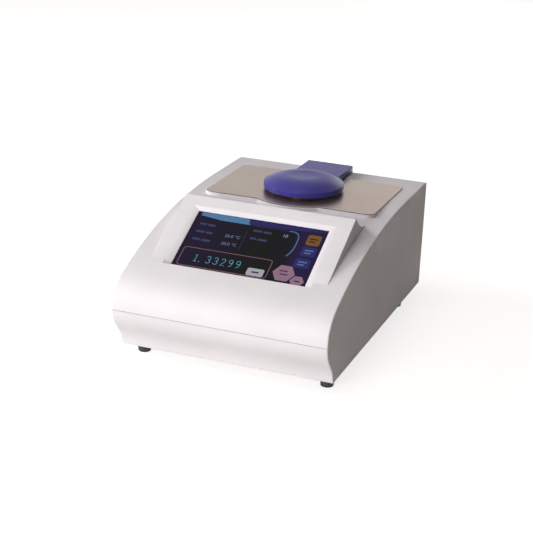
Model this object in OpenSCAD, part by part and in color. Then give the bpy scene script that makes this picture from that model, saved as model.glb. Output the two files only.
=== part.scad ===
// Digital bench refractometer: moulded two-part housing with a sloping display console,
// a stainless stage with a sample dish, and a hinged lid on an arm.
// Inside are the heated prism block, its light source and detector, the boards and the supply.
// Modules are written in housing places (x, s, h): x from the middle, s back from the nose,
// h up from the underside. in_housing() moves them to the part's own frame.

/* [Housing] */
// Width of the housing
body_w = 250; // [244:1:310]
// Depth from the nose to the back edge
body_d = 368; // [362:1:450]
// Height from the underside to the flat rear top
body_h = 132.5; // [130:0.5:160]
// Height of the parting line between the two housings
split_h = 50; // [42:0.5:52]
// Wall of both housings
wall = 3; // [2.5:0.1:3.5]
// Depth and height of the shadow groove at the parting line
groove = 0.7; // [0.3:0.1:1]

/* [Console] */
// Width of the raised display console
console_w = 206; // [200:1:212]
// Tilt of the display panel from level
panel_slope = 28; // [26:0.5:30]
// How far behind the nose the console's ridge lies
ridge_s = 146.8; // [143:0.1:152]
// How far the ridge stands above the flat rear top
ridge_rise = 13.3; // [11:0.1:16]
// Length of the hollow curve from the ridge back to the housing
ridge_back = 37; // [30:1:44]

/* [Screen] */
// Width of the screen window
screen_w = 157.2; // [150:0.1:160]
// Length of the screen window down the slope
screen_l = 88.7; // [84:0.1:90]
// Distance from the ridge to the window, down the slope
screen_top = 21.8; // [20:0.1:25]
// Width of the bevel beside the window
bevel_w = 8; // [5:0.5:9]
// Width of the bevel above the window
bevel_top = 5.2; // [4:0.1:8]
// Depth of the bevel
bevel_depth = 2.5; // [1.5:0.1:3]
// Flat lip between the bevel and the glass
lip_t = 0.8; // [0.6:0.1:1.2]
// Overlap of the glass behind the lip
glass_lap = 4; // [3:0.5:4.5]
// Thickness of the touch glass
glass_t = 1.8; // [1.1:0.1:2.2]
// Thickness of the display module behind the glass
lcd_t = 5.5; // [4:0.5:7]

/* [Stage] */
// Width of the stainless top plate
plate_w = 210; // [200:1:216]
// Length of the top plate from its front edge to its back edge
plate_l = 127; // [120:1:132]
// Thickness of the top plate
plate_t = 1.2; // [1:0.1:2]
// Corner radius of the top plate
plate_r = 9; // [5:0.5:14]
// Radius of the round front lobe that runs round the lid
lobe_r = 68.5; // [66:0.5:70]
// Margin between the top plate and the back edge of the housing
plate_back = 36.4; // [34:0.1:44]
// Distance of the sample dish from the back edge of the housing
dish_back = 105.9; // [103:0.1:110]
// Outer radius of the dish's rim
dish_r = 36; // [34:0.5:38]
// Width of the dish's rim
dish_rim = 3; // [2:0.5:4]
// How far the dish's rim stands above the housing's flat top
dish_rise = 3.5; // [3:0.1:4]
// Radius of the measuring prism
prism_r = 8; // [7:0.1:9]

/* [Lid] */
// Outer radius of the lid's round cap
lid_r = 48.4; // [46:0.1:54]
// Height of the cap from its rim to its top
lid_h = 14.9; // [14:0.1:18]
// Wall of the cap
lid_wall = 2.5; // [2:0.1:2.8]
// Width of the lid's arm
arm_w = 58.6; // [50:0.1:64]
// Thickness of the arm
arm_t = 6.8; // [6.6:0.1:7.4]
// Radius of the hinge pin
pin_r = 1.5; // [1.2:0.1:1.5]
// Width of the hinge lug inside the arm
lug_w = 24; // [16:1:30]

/* [Feet] */
// Height of the rubber feet
foot_h = 16; // [10:0.5:20]
// Radius of a foot where it meets the housing
foot_r = 8.5; // [7:0.5:9]
// Distance of a foot from the middle of the housing's side
foot_in = 15.5; // [15:0.5:24]
// Distance of the feet from the front and the back
foot_end = 52.6; // [46:0.1:60]

/* [Measuring head] */
// Tilt of the two light paths below level
path_tilt = 35; // [34:0.5:36]
// Length of the light source's tube
source_l = 40; // [34:1:46]
// Length of the objective's tube
objective_l = 58; // [50:1:60]
// Side of the square cooling fan
fan_w = 60; // [56:1:62]
// Thickness of the cooling fan
fan_t = 15; // [14:0.5:20]

/* [Hidden] */
$fn = 64;

// Colours
case_white = [0.92, 0.90, 0.94];
lid_blue = [0.20, 0.22, 0.55];
steel = [0.72, 0.68, 0.64];
zinc = [0.78, 0.78, 0.80];
rubber_black = [0.06, 0.06, 0.07];
plastic_black = [0.10, 0.10, 0.11];
board_green = [0.08, 0.35, 0.20];
alloy = [0.75, 0.76, 0.78];

// Running clearances and small overlaps used by the cuts
slip = 0.05;
fit = 0.3;
cut = 1;

// Metric 3 screws: shank, head, head height, clearance hole
m3_r = 1.5;
m3_head_r = 2.8;
m3_head_h = 2;
m3_free_r = 1.7;
m3_tap_r = m3_r + slip;

// Housing outline: corner points of the three curves of its side view
nose_low = [[0, split_h], [0, 0.56 * split_h], [23.6, 0.44 * split_h], [25.1, 0]];
nose_high = [[0, split_h], [0, split_h + 22], [13, body_h - 52.5], [33.6, body_h - 43.9]];
brow = [[33.6, body_h - 43.9], [83.6, body_h - 23], [150, body_h - 2], [272.6, body_h]];
curve_steps = 18;

// Console and panel
ridge_h = body_h + ridge_rise;
panel_wall = bevel_depth + lip_t;
console_start = 40;
ridge_curve = [[ridge_s, ridge_h], [ridge_s + 0.25 * ridge_back, ridge_h - 9.3],
    [ridge_s + 0.52 * ridge_back, ridge_h - 16.8], [ridge_s + ridge_back, ridge_h - 18.8]];

// Places along the depth
stage_s = body_d - dish_back;
plate_back_s = body_d - plate_back;
plate_front_s = plate_back_s - plate_l;
panel_out_s = body_d - 2.5;
panel_in_s = panel_out_s - 2;
skin_h = body_h - wall;
in_w = body_w - 2 * wall;

// Case screws
case_boss_x = body_w / 2 - 11;
case_boss_s = [84, 205, body_d - 28];
case_boss_r = 5;
case_head_h = 18;
case_screw_l = 44;
corner_x = body_w / 2 - 12;
corner_high_h = skin_h - 5;
corner_low_h = wall + 5;
corner_s = panel_in_s - 10;

// Feet
foot_x = body_w / 2 - foot_in;
foot_s = [foot_end, body_d - foot_end];
foot_shank_r = 1.9;
foot_head_r = 4;

// Plate studs
stud_x = plate_w / 2 - 13;
stud_s = [plate_front_s + 12.4, plate_back_s - 12.6];
nut_h = 2.6;

// Display module, measured down the slope from the ridge
glass_top = screen_top - glass_lap;
glass_l = screen_l + 2 * glass_lap;
glass_w = screen_w + 2 * glass_lap;
gasket_t = 0.5;
glass_out = -panel_wall - gasket_t;
lcd_out = glass_out - glass_t;
bracket_out = lcd_out - lcd_t;
bracket_t = 1.2;
display_boss_x = glass_w / 2 + 6.2;
display_boss_v = [screen_top + 8, screen_top + screen_l - 8];
display_board_gap = 6;
display_board_w = 130;
display_board_l = 75;
board_t = 1.6;
display_board_top = screen_top + 8.2;
display_board_out = bracket_out - bracket_t - display_board_gap;

// Sample dish and prism
flange_r = 46;
flange_t = 3.2;
flange_top = skin_h - fit;
flange_low = flange_top - flange_t;
rim_top = body_h + dish_rise;
prism_top = rim_top - 4.6;
seal_low = prism_top - 2;
seat_r = prism_r + 1.5;
stage_t = 6;
stage_low = flange_low - stage_t;
stage_w = 200;
stage_l = 76;
dish_screw_r = 41;

// Prism block: its faces stand square to the light paths
block_l = 48;
block_top_x = 30;
face_w = 24;
face_mid = [34.1, stage_low - 20.2];
face_up = [face_mid[0] + face_w / 2 * sin(path_tilt), face_mid[1] + face_w / 2 * cos(path_tilt)];
face_down = [face_mid[0] - face_w / 2 * sin(path_tilt), face_mid[1] - face_w / 2 * cos(path_tilt)];
block_low = face_down[1];
path_r = 6;
spigot_r = 9;
spigot_l = 5;
block_screw_x = 22;
block_screw_s = 16;

// Cooler under the prism block
peltier_w = 40;
peltier_t = 3.8;
sink_top = block_low - peltier_t;
sink_base_t = 5;
sink_fin_h = 20;
sink_low = sink_top - sink_base_t - sink_fin_h;
fin_gap = 6.5;
fin_t = 1.5;
sink_screw_x = 3.5 * fin_gap;
sink_screw_s = 21.5;
fan_low = sink_low - fan_t;
fan_hub_r = 13;
fan_duct_r = fan_w / 2 - 2;
fan_blades = 7;
fan_shaft_r = 2;

// Chassis
chassis_low = 9;
chassis_t = 2;
floor_h = chassis_low + chassis_t;
chassis_w = 200;
chassis_front = 36;
chassis_back = body_d - 18;
chassis_boss_x = 90;
chassis_boss_s = [44, 193, body_d - 26];
post_x = 92;
post_s = 32;
post_r = 5;

// Power supply and boards
supply_x = -96;
supply_s = 52;
supply_w = 82;
supply_l = 120;
supply_h = 36.5;
sheet_t = 1.5;
board_x = -6;
board_s = 60;
board_w = 100;
board_l = 120;
board_h = floor_h + 8;
standoff_r = 3;
ports_x = 34;
ports_w = 70;
ports_l = 34;
ports_s = panel_in_s - ports_l - 6;
ports_h = floor_h + 10;

// Connectors on the rear panel
inlet_x = -80;
inlet_h = 40;
inlet_w = 27;
inlet_l = 47;
switch_x = -45;
switch_h = 40;
serial_x = 54;
usb_x = 88;
rocker_tilt = 8;
rocker_s = body_d - 8;

// Lid
rim_gap = 3.4;
cap_low = body_h + plate_t + rim_gap;
cap_top = cap_low + lid_h;
arm_top = cap_low + 5.4;
arm_low = arm_top - arm_t;
carrier_low = cap_low + 2.1;
carrier_t = 2.8;
liner_t = 1.6;
liner_low = carrier_low - liner_t;
seal_gap = 0.3;
pin_s = body_d - 7.7;
pin_h = body_h + 4.8;
arm_end_r = 3.7;
barrel_r = 3.6;
lug_r = 3;
lug_gap = 0.5;
lid_screw_r = 24;
hinge_screw_x = 18;
hinge_screw_s = pin_s - 5.8;

// Point of a curve with four control points
function bez(p, t) = pow(1 - t, 3) * p[0] + 3 * pow(1 - t, 2) * t * p[1]
    + 3 * (1 - t) * t * t * p[2] + pow(t, 3) * p[3];
// Direction of the same curve
function bez_way(p, t) = 3 * pow(1 - t, 2) * (p[1] - p[0]) + 6 * (1 - t) * t * (p[2] - p[1])
    + 3 * t * t * (p[3] - p[2]);
// Points of a curve moved sideways by gap, to the right of its direction
function beside(p, t, gap) = let (d = bez_way(p, t), n = norm(d)) bez(p, t) + gap * [d[1], -d[0]] / n;
function run_of(p, gap = 0, steps = curve_steps) = [for (i = [0:steps]) beside(p, i / steps, gap)];
function flip(list) = [for (i = [len(list) - 1:-1:0]) list[i]];
// Cut each corner of a list of points, keeping both ends
function rounded(list) = concat([list[0]],
    [for (i = [0:len(list) - 2], t = [0.25, 0.75])
        if (!(i == 0 && t < 0.5) && !(i == len(list) - 2 && t > 0.5)) list[i] + t * (list[i + 1] - list[i])],
    [list[len(list) - 1]]);
// Height of the console's flat panel, gap below its face
function panel_h(s, gap = 0) = ridge_h - (ridge_s - s) * tan(panel_slope) - gap / cos(panel_slope);

// Move from housing places to the part's frame
module in_housing() translate([0, -body_d / 2, foot_h]) children();
// Frame on the console's panel: y runs up the slope to the ridge, z stands out of the panel
module on_panel() translate([0, ridge_s, ridge_h]) rotate([panel_slope, 0, 0]) children();
// Extrude a side view of (s, h) points across the width
module across(w, x = 0) translate([x - w / 2, 0, 0]) rotate([90, 0, 90]) linear_extrude(w) children();
// Extrude a front view of (x, h) points along the depth
module along(s0, s1) translate([0, s1, 0]) rotate([90, 0, 0]) linear_extrude(s1 - s0) children();
// Box from one corner to the other
module span(a, b) translate(a) cube(b - a);
// Upright cylinder from one height to another
module rod(x, s, h0, h1, r) translate([x, s, h0]) cylinder(r = r, h = h1 - h0);
// Cylinder along the depth
module bar(x, h, s0, s1, r) translate([x, s0, h]) rotate([-90, 0, 0]) cylinder(r = r, h = s1 - s0);
// Pan head screw whose head stands on the underside of what it holds, pointing up
module screw_up(x, s, seat, l, r = m3_r, head_r = m3_head_r, head_h = m3_head_h) {
    rod(x, s, seat - head_h, seat, head_r);
    rod(x, s, seat - head_h, seat + l, r);
}
// Pan head screw pointing down from its seat
module screw_down(x, s, seat, l, r = m3_r, head_r = m3_head_r, head_h = m3_head_h) {
    rod(x, s, seat, seat + head_h, head_r);
    rod(x, s, seat - l, seat + head_h, r);
}
// Round wire along a list of points, as one closed tube with eight sides
module wire(points, r) {
    path = rounded(rounded(points));
    n = len(path);
    sides = 8;
    rings = [for (i = [0:n - 1])
        let (way = path[min(i + 1, n - 1)] - path[max(i - 1, 0)],
            w = way / norm(way),
            u0 = cross(w, abs(w[0]) > 0.9 ? [0, 1, 0] : [1, 0, 0]),
            u = u0 / norm(u0), v = cross(w, u))
        for (k = [0:sides - 1]) path[i] + r * (cos(k * 360 / sides) * u + sin(k * 360 / sides) * v)];
    polyhedron(rings, concat(
        [[for (k = [0:sides - 1]) k]],
        [for (i = [0:n - 2], k = [0:sides - 1]) [i * sides + k, (i + 1) * sides + k,
            (i + 1) * sides + (k + 1) % sides, i * sides + (k + 1) % sides]],
        [[for (k = [sides - 1:-1:0]) (n - 1) * sides + k]]), convexity = 6);
}
// Both sides of the housing
module both_sides() for (side = [-1, 1]) scale([side, 1, 1]) children();

// Side view of the upper housing; gap moves the outline inwards
module upper_view(gap = 0) {
    brow_end = beside(brow, 1, gap);
    polygon(concat(
        [[gap, split_h - (gap > 0 ? cut : 0)]],
        run_of(nose_high, gap),
        run_of(brow, gap),
        [[body_d + (gap > 0 ? cut : 0), brow_end[1]],
         [body_d + (gap > 0 ? cut : 0), split_h - (gap > 0 ? cut : 0)]]));
}
// Side view of the console
module console_view(gap = 0, low = 0) {
    front = console_start + gap;
    back = [for (p = run_of(ridge_curve, gap)) if (p[1] <= panel_h(p[0], gap) + 0.01) p];
    top_s = ridge_s - (ridge_h - gap / cos(panel_slope) - back[0][1]) / tan(panel_slope);
    polygon(concat(
        [[front, panel_h(front, gap) - low], [front, panel_h(front, gap)], [top_s, back[0][1]]],
        back,
        [[ridge_s + ridge_back, body_h - 20 - low]]));
}
// Plan of the top plate; margin widens it
module plate_plan(margin = 0) {
    r = plate_r + margin;
    x = plate_w / 2 + margin;
    s0 = plate_front_s - margin;
    s1 = plate_back_s + margin;
    translate([-x + r, s0]) square([2 * (x - r), s1 - s0]);
    translate([-x, s0 + r]) square([2 * x, s1 - s0 - 2 * r]);
    for (cx = [-x + r, x - r], cy = [s0 + r, s1 - r]) translate([cx, cy]) circle(r = r);
    translate([0, stage_s]) circle(r = lobe_r + margin);
}
// Bevelled recess round the screen, in the panel's frame
module bevel_cut() {
    low = -(screen_top + screen_l);
    intersection() {
        translate([0, -screen_top + cut + bevel_top, 0]) rotate([90, 0, 0])
            linear_extrude(screen_l + bevel_top + cut)
            polygon([[-screen_w / 2, -bevel_depth], [screen_w / 2, -bevel_depth],
                [screen_w / 2 + bevel_w, 0], [screen_w / 2 + bevel_w, 12],
                [-screen_w / 2 - bevel_w, 12], [-screen_w / 2 - bevel_w, 0]]);
        translate([-body_w / 2, 0, 0]) rotate([90, 0, 90]) linear_extrude(body_w)
            polygon([[low, -bevel_depth], [-screen_top, -bevel_depth],
                [-screen_top + bevel_top, 0], [-screen_top + bevel_top, 12], [low, 12]]);
    }
    translate([-screen_w / 2, low, -panel_wall - cut])
        cube([screen_w, screen_l, panel_wall + cut]);
}

module upper_housing() {
    color(case_white) in_housing() difference() {
        union() {
            difference() {
                union() {
                    across(body_w) upper_view();
                    across(console_w) console_view();
                    translate([0, 0, body_h - 20]) linear_extrude(20) plate_plan(1);
                }
                across(in_w) upper_view(wall);
                across(console_w - 2 * wall) console_view(panel_wall, 20);
                translate([0, 0, skin_h - 16]) linear_extrude(16) plate_plan(-wall);
            }
            intersection() {
                across(body_w) upper_view();
                both_sides() {
                    for (s = case_boss_s) rod(case_boss_x, s, split_h, body_h, case_boss_r);
                    span([corner_x - 7, corner_s, skin_h - 10],
                        [body_w / 2 - cut, panel_in_s, body_h - cut]);
                }
            }
            on_panel() both_sides() for (v = display_boss_v)
                translate([display_boss_x, -v, bracket_out])
                    cylinder(r = 3.5, h = -bracket_out - cut);
        }
        on_panel() bevel_cut();
        both_sides() {
            for (s = case_boss_s) rod(case_boss_x, s, split_h - cut, split_h + 16, m3_tap_r);
            bar(corner_x, corner_high_h, corner_s + 1, panel_in_s + cut, m3_tap_r);
            on_panel() for (v = display_boss_v) translate([display_boss_x, -v, bracket_out - cut])
                cylinder(r = 1.15, h = 7.5);
            rod(hinge_screw_x, hinge_screw_s, skin_h - cut, body_h + cut, m3_free_r);
            translate([hinge_screw_x, hinge_screw_s, body_h - 1.6])
                cylinder(r1 = m3_free_r, r2 = 3.2, h = 1.6 + slip);
            for (s = stud_s) rod(stud_x, s, skin_h - cut, body_h + cut, m3_free_r);
        }
        rod(0, stage_s, skin_h - 20, body_h + cut, dish_r + 2);
        span([-lug_w / 2 - fit, pin_s - lug_r - fit, skin_h - cut],
            [lug_w / 2 + fit, pin_s + lug_r + fit, body_h + cut]);
    }
}

module lower_housing() {
    color(case_white) in_housing() difference() {
        union() {
            difference() {
                across(body_w) polygon(concat(run_of(nose_low),
                    [[body_d, 0], [body_d, split_h]]));
                across(in_w) polygon(concat([[wall, split_h + cut]],
                    [for (p = run_of(nose_low, -wall)) [p[0], max(p[1], wall)]],
                    [[body_d + cut, wall], [body_d + cut, split_h + cut]]));
            }
            both_sides() {
                for (s = case_boss_s) rod(case_boss_x, s, 0, split_h, case_boss_r);
                for (s = foot_s) rod(foot_x, s, 0, chassis_low - 2, 5.5);
                for (s = chassis_boss_s) rod(chassis_boss_x, s, 0, chassis_low, 4.5);
                span([corner_x - 7, corner_s, cut], [body_w / 2 - cut, panel_in_s, wall + 10]);
            }
        }
        both_sides() {
            for (s = case_boss_s) {
                rod(case_boss_x, s, -cut, case_head_h, 3.2);
                rod(case_boss_x, s, -cut, split_h + cut, m3_free_r);
            }
            for (s = foot_s) rod(foot_x, s, -cut, chassis_low, foot_shank_r + slip);
            for (s = chassis_boss_s) rod(chassis_boss_x, s, wall / 2, chassis_low + cut, m3_tap_r);
            bar(corner_x, corner_low_h, corner_s + 1, panel_in_s + cut, m3_tap_r);
            span([body_w / 2 - groove, -cut, split_h - groove],
                [body_w / 2 + cut, body_d + cut, split_h + cut]);
        }
        span([-body_w, -cut, split_h - groove], [body_w, groove, split_h + cut]);
        for (x = [-28:8:28]) span([x - 2, stage_s - 24, -cut], [x + 2, stage_s + 24, wall + cut]);
    }
}

module rear_panel() {
    color(case_white) in_housing() difference() {
        span([-in_w / 2 + fit, panel_in_s, wall + fit], [in_w / 2 - fit, panel_out_s, skin_h - fit]);
        both_sides() for (h = [corner_high_h, corner_low_h])
            bar(corner_x, h, panel_in_s - cut, panel_out_s + cut, m3_free_r);
        span([inlet_x - inlet_w / 2 - 0.2, panel_in_s - cut, inlet_h - inlet_l / 2 - 0.2],
            [inlet_x + inlet_w / 2 + 0.2, panel_out_s + cut, inlet_h + inlet_l / 2 + 0.2]);
        span([switch_x - 7.2, panel_in_s - cut, switch_h - 9.7],
            [switch_x + 7.2, panel_out_s + cut, switch_h + 9.7]);
        span([serial_x - 9.7, panel_in_s - cut, ports_h + board_t + 2.3],
            [serial_x + 9.7, panel_out_s + cut, ports_h + board_t + 12.7]);
        span([usb_x - 7.2, panel_in_s - cut, ports_h + board_t - 0.2],
            [usb_x + 7.2, panel_out_s + cut, ports_h + board_t + 7.2]);
        for (x = [-70:7:70]) span([x - 1.5, panel_in_s - cut, 82], [x + 1.5, panel_out_s + cut, 112]);
    }
}

module top_plate() {
    color(steel) in_housing() {
        difference() {
            translate([0, 0, body_h]) linear_extrude(plate_t) plate_plan();
            rod(0, stage_s, body_h - cut, body_h + plate_t + cut, dish_r + 0.4);
        }
        both_sides() for (s = stud_s) rod(stud_x, s, skin_h - 6, body_h + plate_t / 2, m3_r);
    }
}

module plate_nuts() {
    color(zinc) in_housing() both_sides() for (s = stud_s) difference() {
        translate([stud_x, s, skin_h - nut_h]) cylinder(r = 3.2, h = nut_h, $fn = 6);
        rod(stud_x, s, skin_h - nut_h - cut, skin_h + cut, m3_tap_r);
    }
}

module rubber_feet() {
    low_r = foot_r - 1.2;
    foot_round = 1.2;
    color(rubber_black) in_housing() both_sides() for (s = foot_s)
        translate([foot_x, s, -foot_h]) rotate_extrude()
            polygon(concat([[foot_head_r + 0.3, 0]],
                [for (a = [-90:15:0]) [low_r + foot_round * (cos(a) - 1), foot_round * (sin(a) + 1)]],
                [[foot_r, foot_h - 1], [foot_r - 0.6, foot_h], [foot_shank_r + fit, foot_h],
                 [foot_shank_r + fit, 5], [foot_head_r + 0.3, 5]]));
}

module foot_screws() {
    color(zinc) in_housing() both_sides() for (s = foot_s)
        screw_up(foot_x, s, 5 - foot_h, foot_h - 5 + chassis_low - 2.5, foot_shank_r, foot_head_r, 2.6);
}

module housing_screws() {
    color(zinc) in_housing() both_sides() for (s = case_boss_s)
        screw_up(case_boss_x, s, case_head_h, case_screw_l);
}

module case_screws() {
    color(zinc) in_housing() both_sides() {
        for (h = [corner_high_h, corner_low_h]) {
            bar(corner_x, h, panel_out_s, panel_out_s + m3_head_h, m3_head_r);
            bar(corner_x, h, corner_s + 2, panel_out_s + m3_head_h, m3_r);
        }
        rod(hinge_screw_x, hinge_screw_s, skin_h - 3.5, body_h, m3_r);
        translate([hinge_screw_x, hinge_screw_s, body_h - 1.5]) cylinder(r1 = m3_r, r2 = 3, h = 1.5);
    }
}

module touch_glass() {
    color([0.02, 0.02, 0.03]) in_housing() on_panel()
        translate([-glass_w / 2, -glass_top - glass_l, lcd_out]) cube([glass_w, glass_l, glass_t]);
}

module display_gasket() {
    band = glass_lap - 1;
    color(rubber_black) in_housing() on_panel() difference() {
        translate([-screen_w / 2 - band, -screen_top - screen_l - band, glass_out])
            cube([screen_w + 2 * band, screen_l + 2 * band, gasket_t]);
        translate([-screen_w / 2 - 0.6, -screen_top - screen_l - 0.6, glass_out - cut])
            cube([screen_w + 1.2, screen_l + 1.2, gasket_t + 2 * cut]);
    }
}

module lcd_panel() {
    color(alloy) in_housing() on_panel()
        translate([-glass_w / 2, -glass_top - glass_l, bracket_out]) cube([glass_w, glass_l, lcd_t]);
}

module display_bracket() {
    color(zinc) in_housing() on_panel() difference() {
        union() {
            translate([-display_boss_x - 5, -glass_top - glass_l, bracket_out - bracket_t])
                cube([2 * display_boss_x + 10, glass_l, bracket_t]);
            both_sides() for (v = [6, display_board_l - 6])
                translate([display_board_w / 2 - 6, -display_board_top - v, display_board_out])
                    cylinder(r = standoff_r, h = display_board_gap + bracket_t / 2);
        }
        translate([-50, -display_board_top - display_board_l + 10, bracket_out - 2])
            cube([100, display_board_l - 20, 3]);
        both_sides() {
            for (v = display_boss_v) translate([display_boss_x, -v, bracket_out - 3])
                cylinder(r = 1.4, h = 4);
            for (v = [6, display_board_l - 6])
                translate([display_board_w / 2 - 6, -display_board_top - v, display_board_out - cut])
                    cylinder(r = 1.25, h = display_board_gap);
        }
    }
}

module display_screws() {
    color(zinc) in_housing() on_panel() both_sides() {
        for (v = display_boss_v) {
            translate([display_boss_x, -v, bracket_out - bracket_t - 2]) cylinder(r = 2.4, h = 2);
            translate([display_boss_x, -v, bracket_out - bracket_t - 2]) cylinder(r = 1.1, h = 8);
        }
        for (v = [6, display_board_l - 6])
            translate([display_board_w / 2 - 6, -display_board_top - v, 0]) {
                translate([0, 0, display_board_out - board_t - 2]) cylinder(r = 2.4, h = 2);
                translate([0, 0, display_board_out - board_t - 2]) cylinder(r = 1.2, h = 7);
            }
    }
}

module display_board() {
    face = display_board_out - board_t;
    color(board_green) in_housing() on_panel() difference() {
        union() {
            translate([-display_board_w / 2, -display_board_top - display_board_l, face])
                cube([display_board_w, display_board_l, board_t]);
            translate([-30, -display_board_top - 40, face - 2]) cube([20, 20, 2 + cut / 2]);
            translate([10, -display_board_top - 34, face - 2]) cube([28, 12, 2 + cut / 2]);
            translate([28, -display_board_top - display_board_l + 5, face - 6])
                cube([20, 8, 6 + cut / 2]);
        }
        both_sides() for (v = [6, display_board_l - 6])
            translate([display_board_w / 2 - 6, -display_board_top - v, face - cut])
                cylinder(r = 1.4, h = board_t + 2 * cut);
    }
}

// Plug of the display's ribbon in (s, h), found from the panel's frame
ribbon_v = display_board_top + display_board_l - 9;
ribbon_w = display_board_out - board_t - 6.2;
ribbon_high = [ridge_s - ribbon_v * cos(panel_slope) - ribbon_w * sin(panel_slope),
    ridge_h - ribbon_v * sin(panel_slope) + ribbon_w * cos(panel_slope)];
ribbon_low = [board_s + 9, board_h + board_t + 7.6];

module display_ribbon() {
    path = [ribbon_high, ribbon_high + [6, -12], ribbon_low + [-8, 20], ribbon_low];
    color("gainsboro") in_housing() across(16, 38)
        polygon(concat(run_of(path, 0.4), flip(run_of(path, -0.4))));
}

module sample_dish() {
    bowl_r = dish_r - dish_rim;
    color(steel) in_housing() difference() {
        translate([0, stage_s, 0]) rotate_extrude()
            polygon([[prism_r + 0.15, flange_low], [flange_r, flange_low], [flange_r, flange_top],
                [dish_r, flange_top], [dish_r, rim_top - 0.5], [dish_r - 0.5, rim_top],
                [bowl_r, rim_top], [bowl_r - 2.5, rim_top - 1.6], [seat_r + 4, prism_top + 0.6],
                [seat_r, prism_top + 0.2], [seat_r, seal_low], [prism_r + 0.15, seal_low]]);
        for (a = [45:90:315]) translate([0, stage_s, 0]) rotate([0, 0, a])
            rod(dish_screw_r, 0, flange_low - cut, flange_low + 2.4, m3_tap_r);
    }
}

module prism() {
    face_h = flange_low + 0.6;
    color([0.85, 0.92, 0.95, 0.6]) in_housing() union() {
        rod(0, stage_s, face_h - 0.4, prism_top, prism_r);
        along(stage_s - 5.5, stage_s + 5.5) polygon([[-5.6, face_h], [5.6, face_h],
            [5.6, face_h - 1], [2, face_h - 7.5], [-2, face_h - 7.5], [-5.6, face_h - 1]]);
    }
}

module prism_seal() {
    color(rubber_black) in_housing() difference() {
        rod(0, stage_s, seal_low, prism_top - 0.1, seat_r - slip);
        rod(0, stage_s, seal_low - cut, prism_top + cut, prism_r + slip);
    }
}

module stage_plate() {
    color(alloy) in_housing() difference() {
        span([-stage_w / 2, stage_s - stage_l / 2, stage_low], [stage_w / 2, stage_s + stage_l / 2, flange_low]);
        rod(0, stage_s, stage_low - cut, flange_low + cut, 12);
        for (a = [45:90:315]) translate([0, stage_s, 0]) rotate([0, 0, a])
            rod(dish_screw_r, 0, stage_low - cut, flange_low + cut, m3_free_r);
        both_sides() for (d = [-1, 1]) {
            rod(post_x, stage_s + d * post_s, stage_low - cut, flange_low + cut, m3_free_r);
            rod(block_screw_x, stage_s + d * block_screw_s, stage_low - cut, flange_low + cut, m3_free_r);
            rod(block_screw_x, stage_s + d * block_screw_s, flange_low - 3, flange_low + cut, 3.2);
        }
    }
}

// Frame on a light path: side -1 is the source, 1 the detector; z runs outwards
module on_path(side) translate([side * face_mid[0], stage_s, face_mid[1]])
    rotate([0, side * (90 + path_tilt), 0]) children();

module optics_screws() {
    color(zinc) in_housing() {
        for (a = [45:90:315]) translate([0, stage_s, 0]) rotate([0, 0, a])
            screw_up(dish_screw_r, 0, stage_low, stage_t + 2);
        both_sides() for (d = [-1, 1])
            screw_down(block_screw_x, stage_s + d * block_screw_s, flange_low - 3, 12);
        on_path(1) for (x = [-18, 18], y = [-18, 18]) translate([x, y, detector_z + detector_t + board_t]) {
            cylinder(r = 2.4, h = 2);
            translate([0, 0, -8]) cylinder(r = 1.2, h = 8 + cut);
        }
    }
}

module prism_block() {
    color([0.72, 0.45, 0.25]) in_housing() difference() {
        along(stage_s - block_l / 2, stage_s + block_l / 2)
            polygon([[-block_top_x, stage_low], [block_top_x, stage_low], face_up, face_down,
                [-face_down[0], face_down[1]], [-face_up[0], face_up[1]]]);
        rod(0, stage_s, stage_low - 10, stage_low + cut, 10);
        for (side = [-1, 1]) on_path(side) {
            translate([0, 0, -40]) cylinder(r = path_r, h = 40 + cut);
            translate([0, 0, -spigot_l]) cylinder(r = spigot_r, h = spigot_l + cut);
        }
        both_sides() for (d = [-1, 1]) {
            rod(block_screw_x, stage_s + d * block_screw_s, stage_low - 10, stage_low + cut, m3_tap_r);
            rod(sink_screw_x, stage_s + d * sink_screw_s, block_low - cut, block_low + 9, 1.25);
        }
        bar(12, block_low + 12, stage_s - block_l / 2 - cut, stage_s - 11, 2 + slip);
    }
}

module source_tube() {
    color(plastic_black) in_housing() on_path(-1) difference() {
        union() {
            translate([0, 0, -spigot_l + 0.2]) cylinder(r = spigot_r - slip, h = spigot_l);
            cylinder(r = 11, h = source_l);
        }
        translate([0, 0, -spigot_l - cut]) cylinder(r = path_r, h = source_l);
        translate([0, 0, 8]) cylinder(r = 9, h = source_l);
    }
}

// Lens with one flat and one domed face, seated at z
module lens(r, edge_t, dome_t) {
    ball_r = (r * r + dome_t * dome_t) / (2 * dome_t);
    intersection() {
        cylinder(r = r, h = edge_t + dome_t);
        translate([0, 0, edge_t + dome_t - ball_r]) sphere(r = ball_r);
    }
}

module condenser_lens() {
    color([0.8, 0.9, 0.95, 0.5]) in_housing() on_path(-1) translate([0, 0, 8]) lens(9 - slip, 3, 2.5);
}

module light_source() {
    color(alloy) in_housing() on_path(-1) difference() {
        union() {
            translate([0, 0, source_l - 8]) cylinder(r = 9 - slip, h = 9);
            translate([0, 0, source_l - 10]) cylinder(r = 2.5, h = 3);
            translate([0, 0, source_l - 10]) sphere(r = 2.5);
            translate([0, 0, source_l]) cylinder(r = 11, h = 12);
        }
        for (z = [3, 6, 9]) translate([0, 0, source_l + z - 0.6]) difference() {
            cylinder(r = 12, h = 1.2);
            translate([0, 0, -cut]) cylinder(r = 8, h = 4);
        }
    }
}

module objective_tube() {
    color(plastic_black) in_housing() on_path(1) difference() {
        union() {
            translate([0, 0, -spigot_l + 0.2]) cylinder(r = spigot_r - slip, h = spigot_l);
            cylinder(r = 12, h = objective_l);
        }
        translate([0, 0, -spigot_l - cut]) cylinder(r = path_r, h = objective_l);
        translate([0, 0, 30]) cylinder(r = 10, h = objective_l);
    }
}

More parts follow.
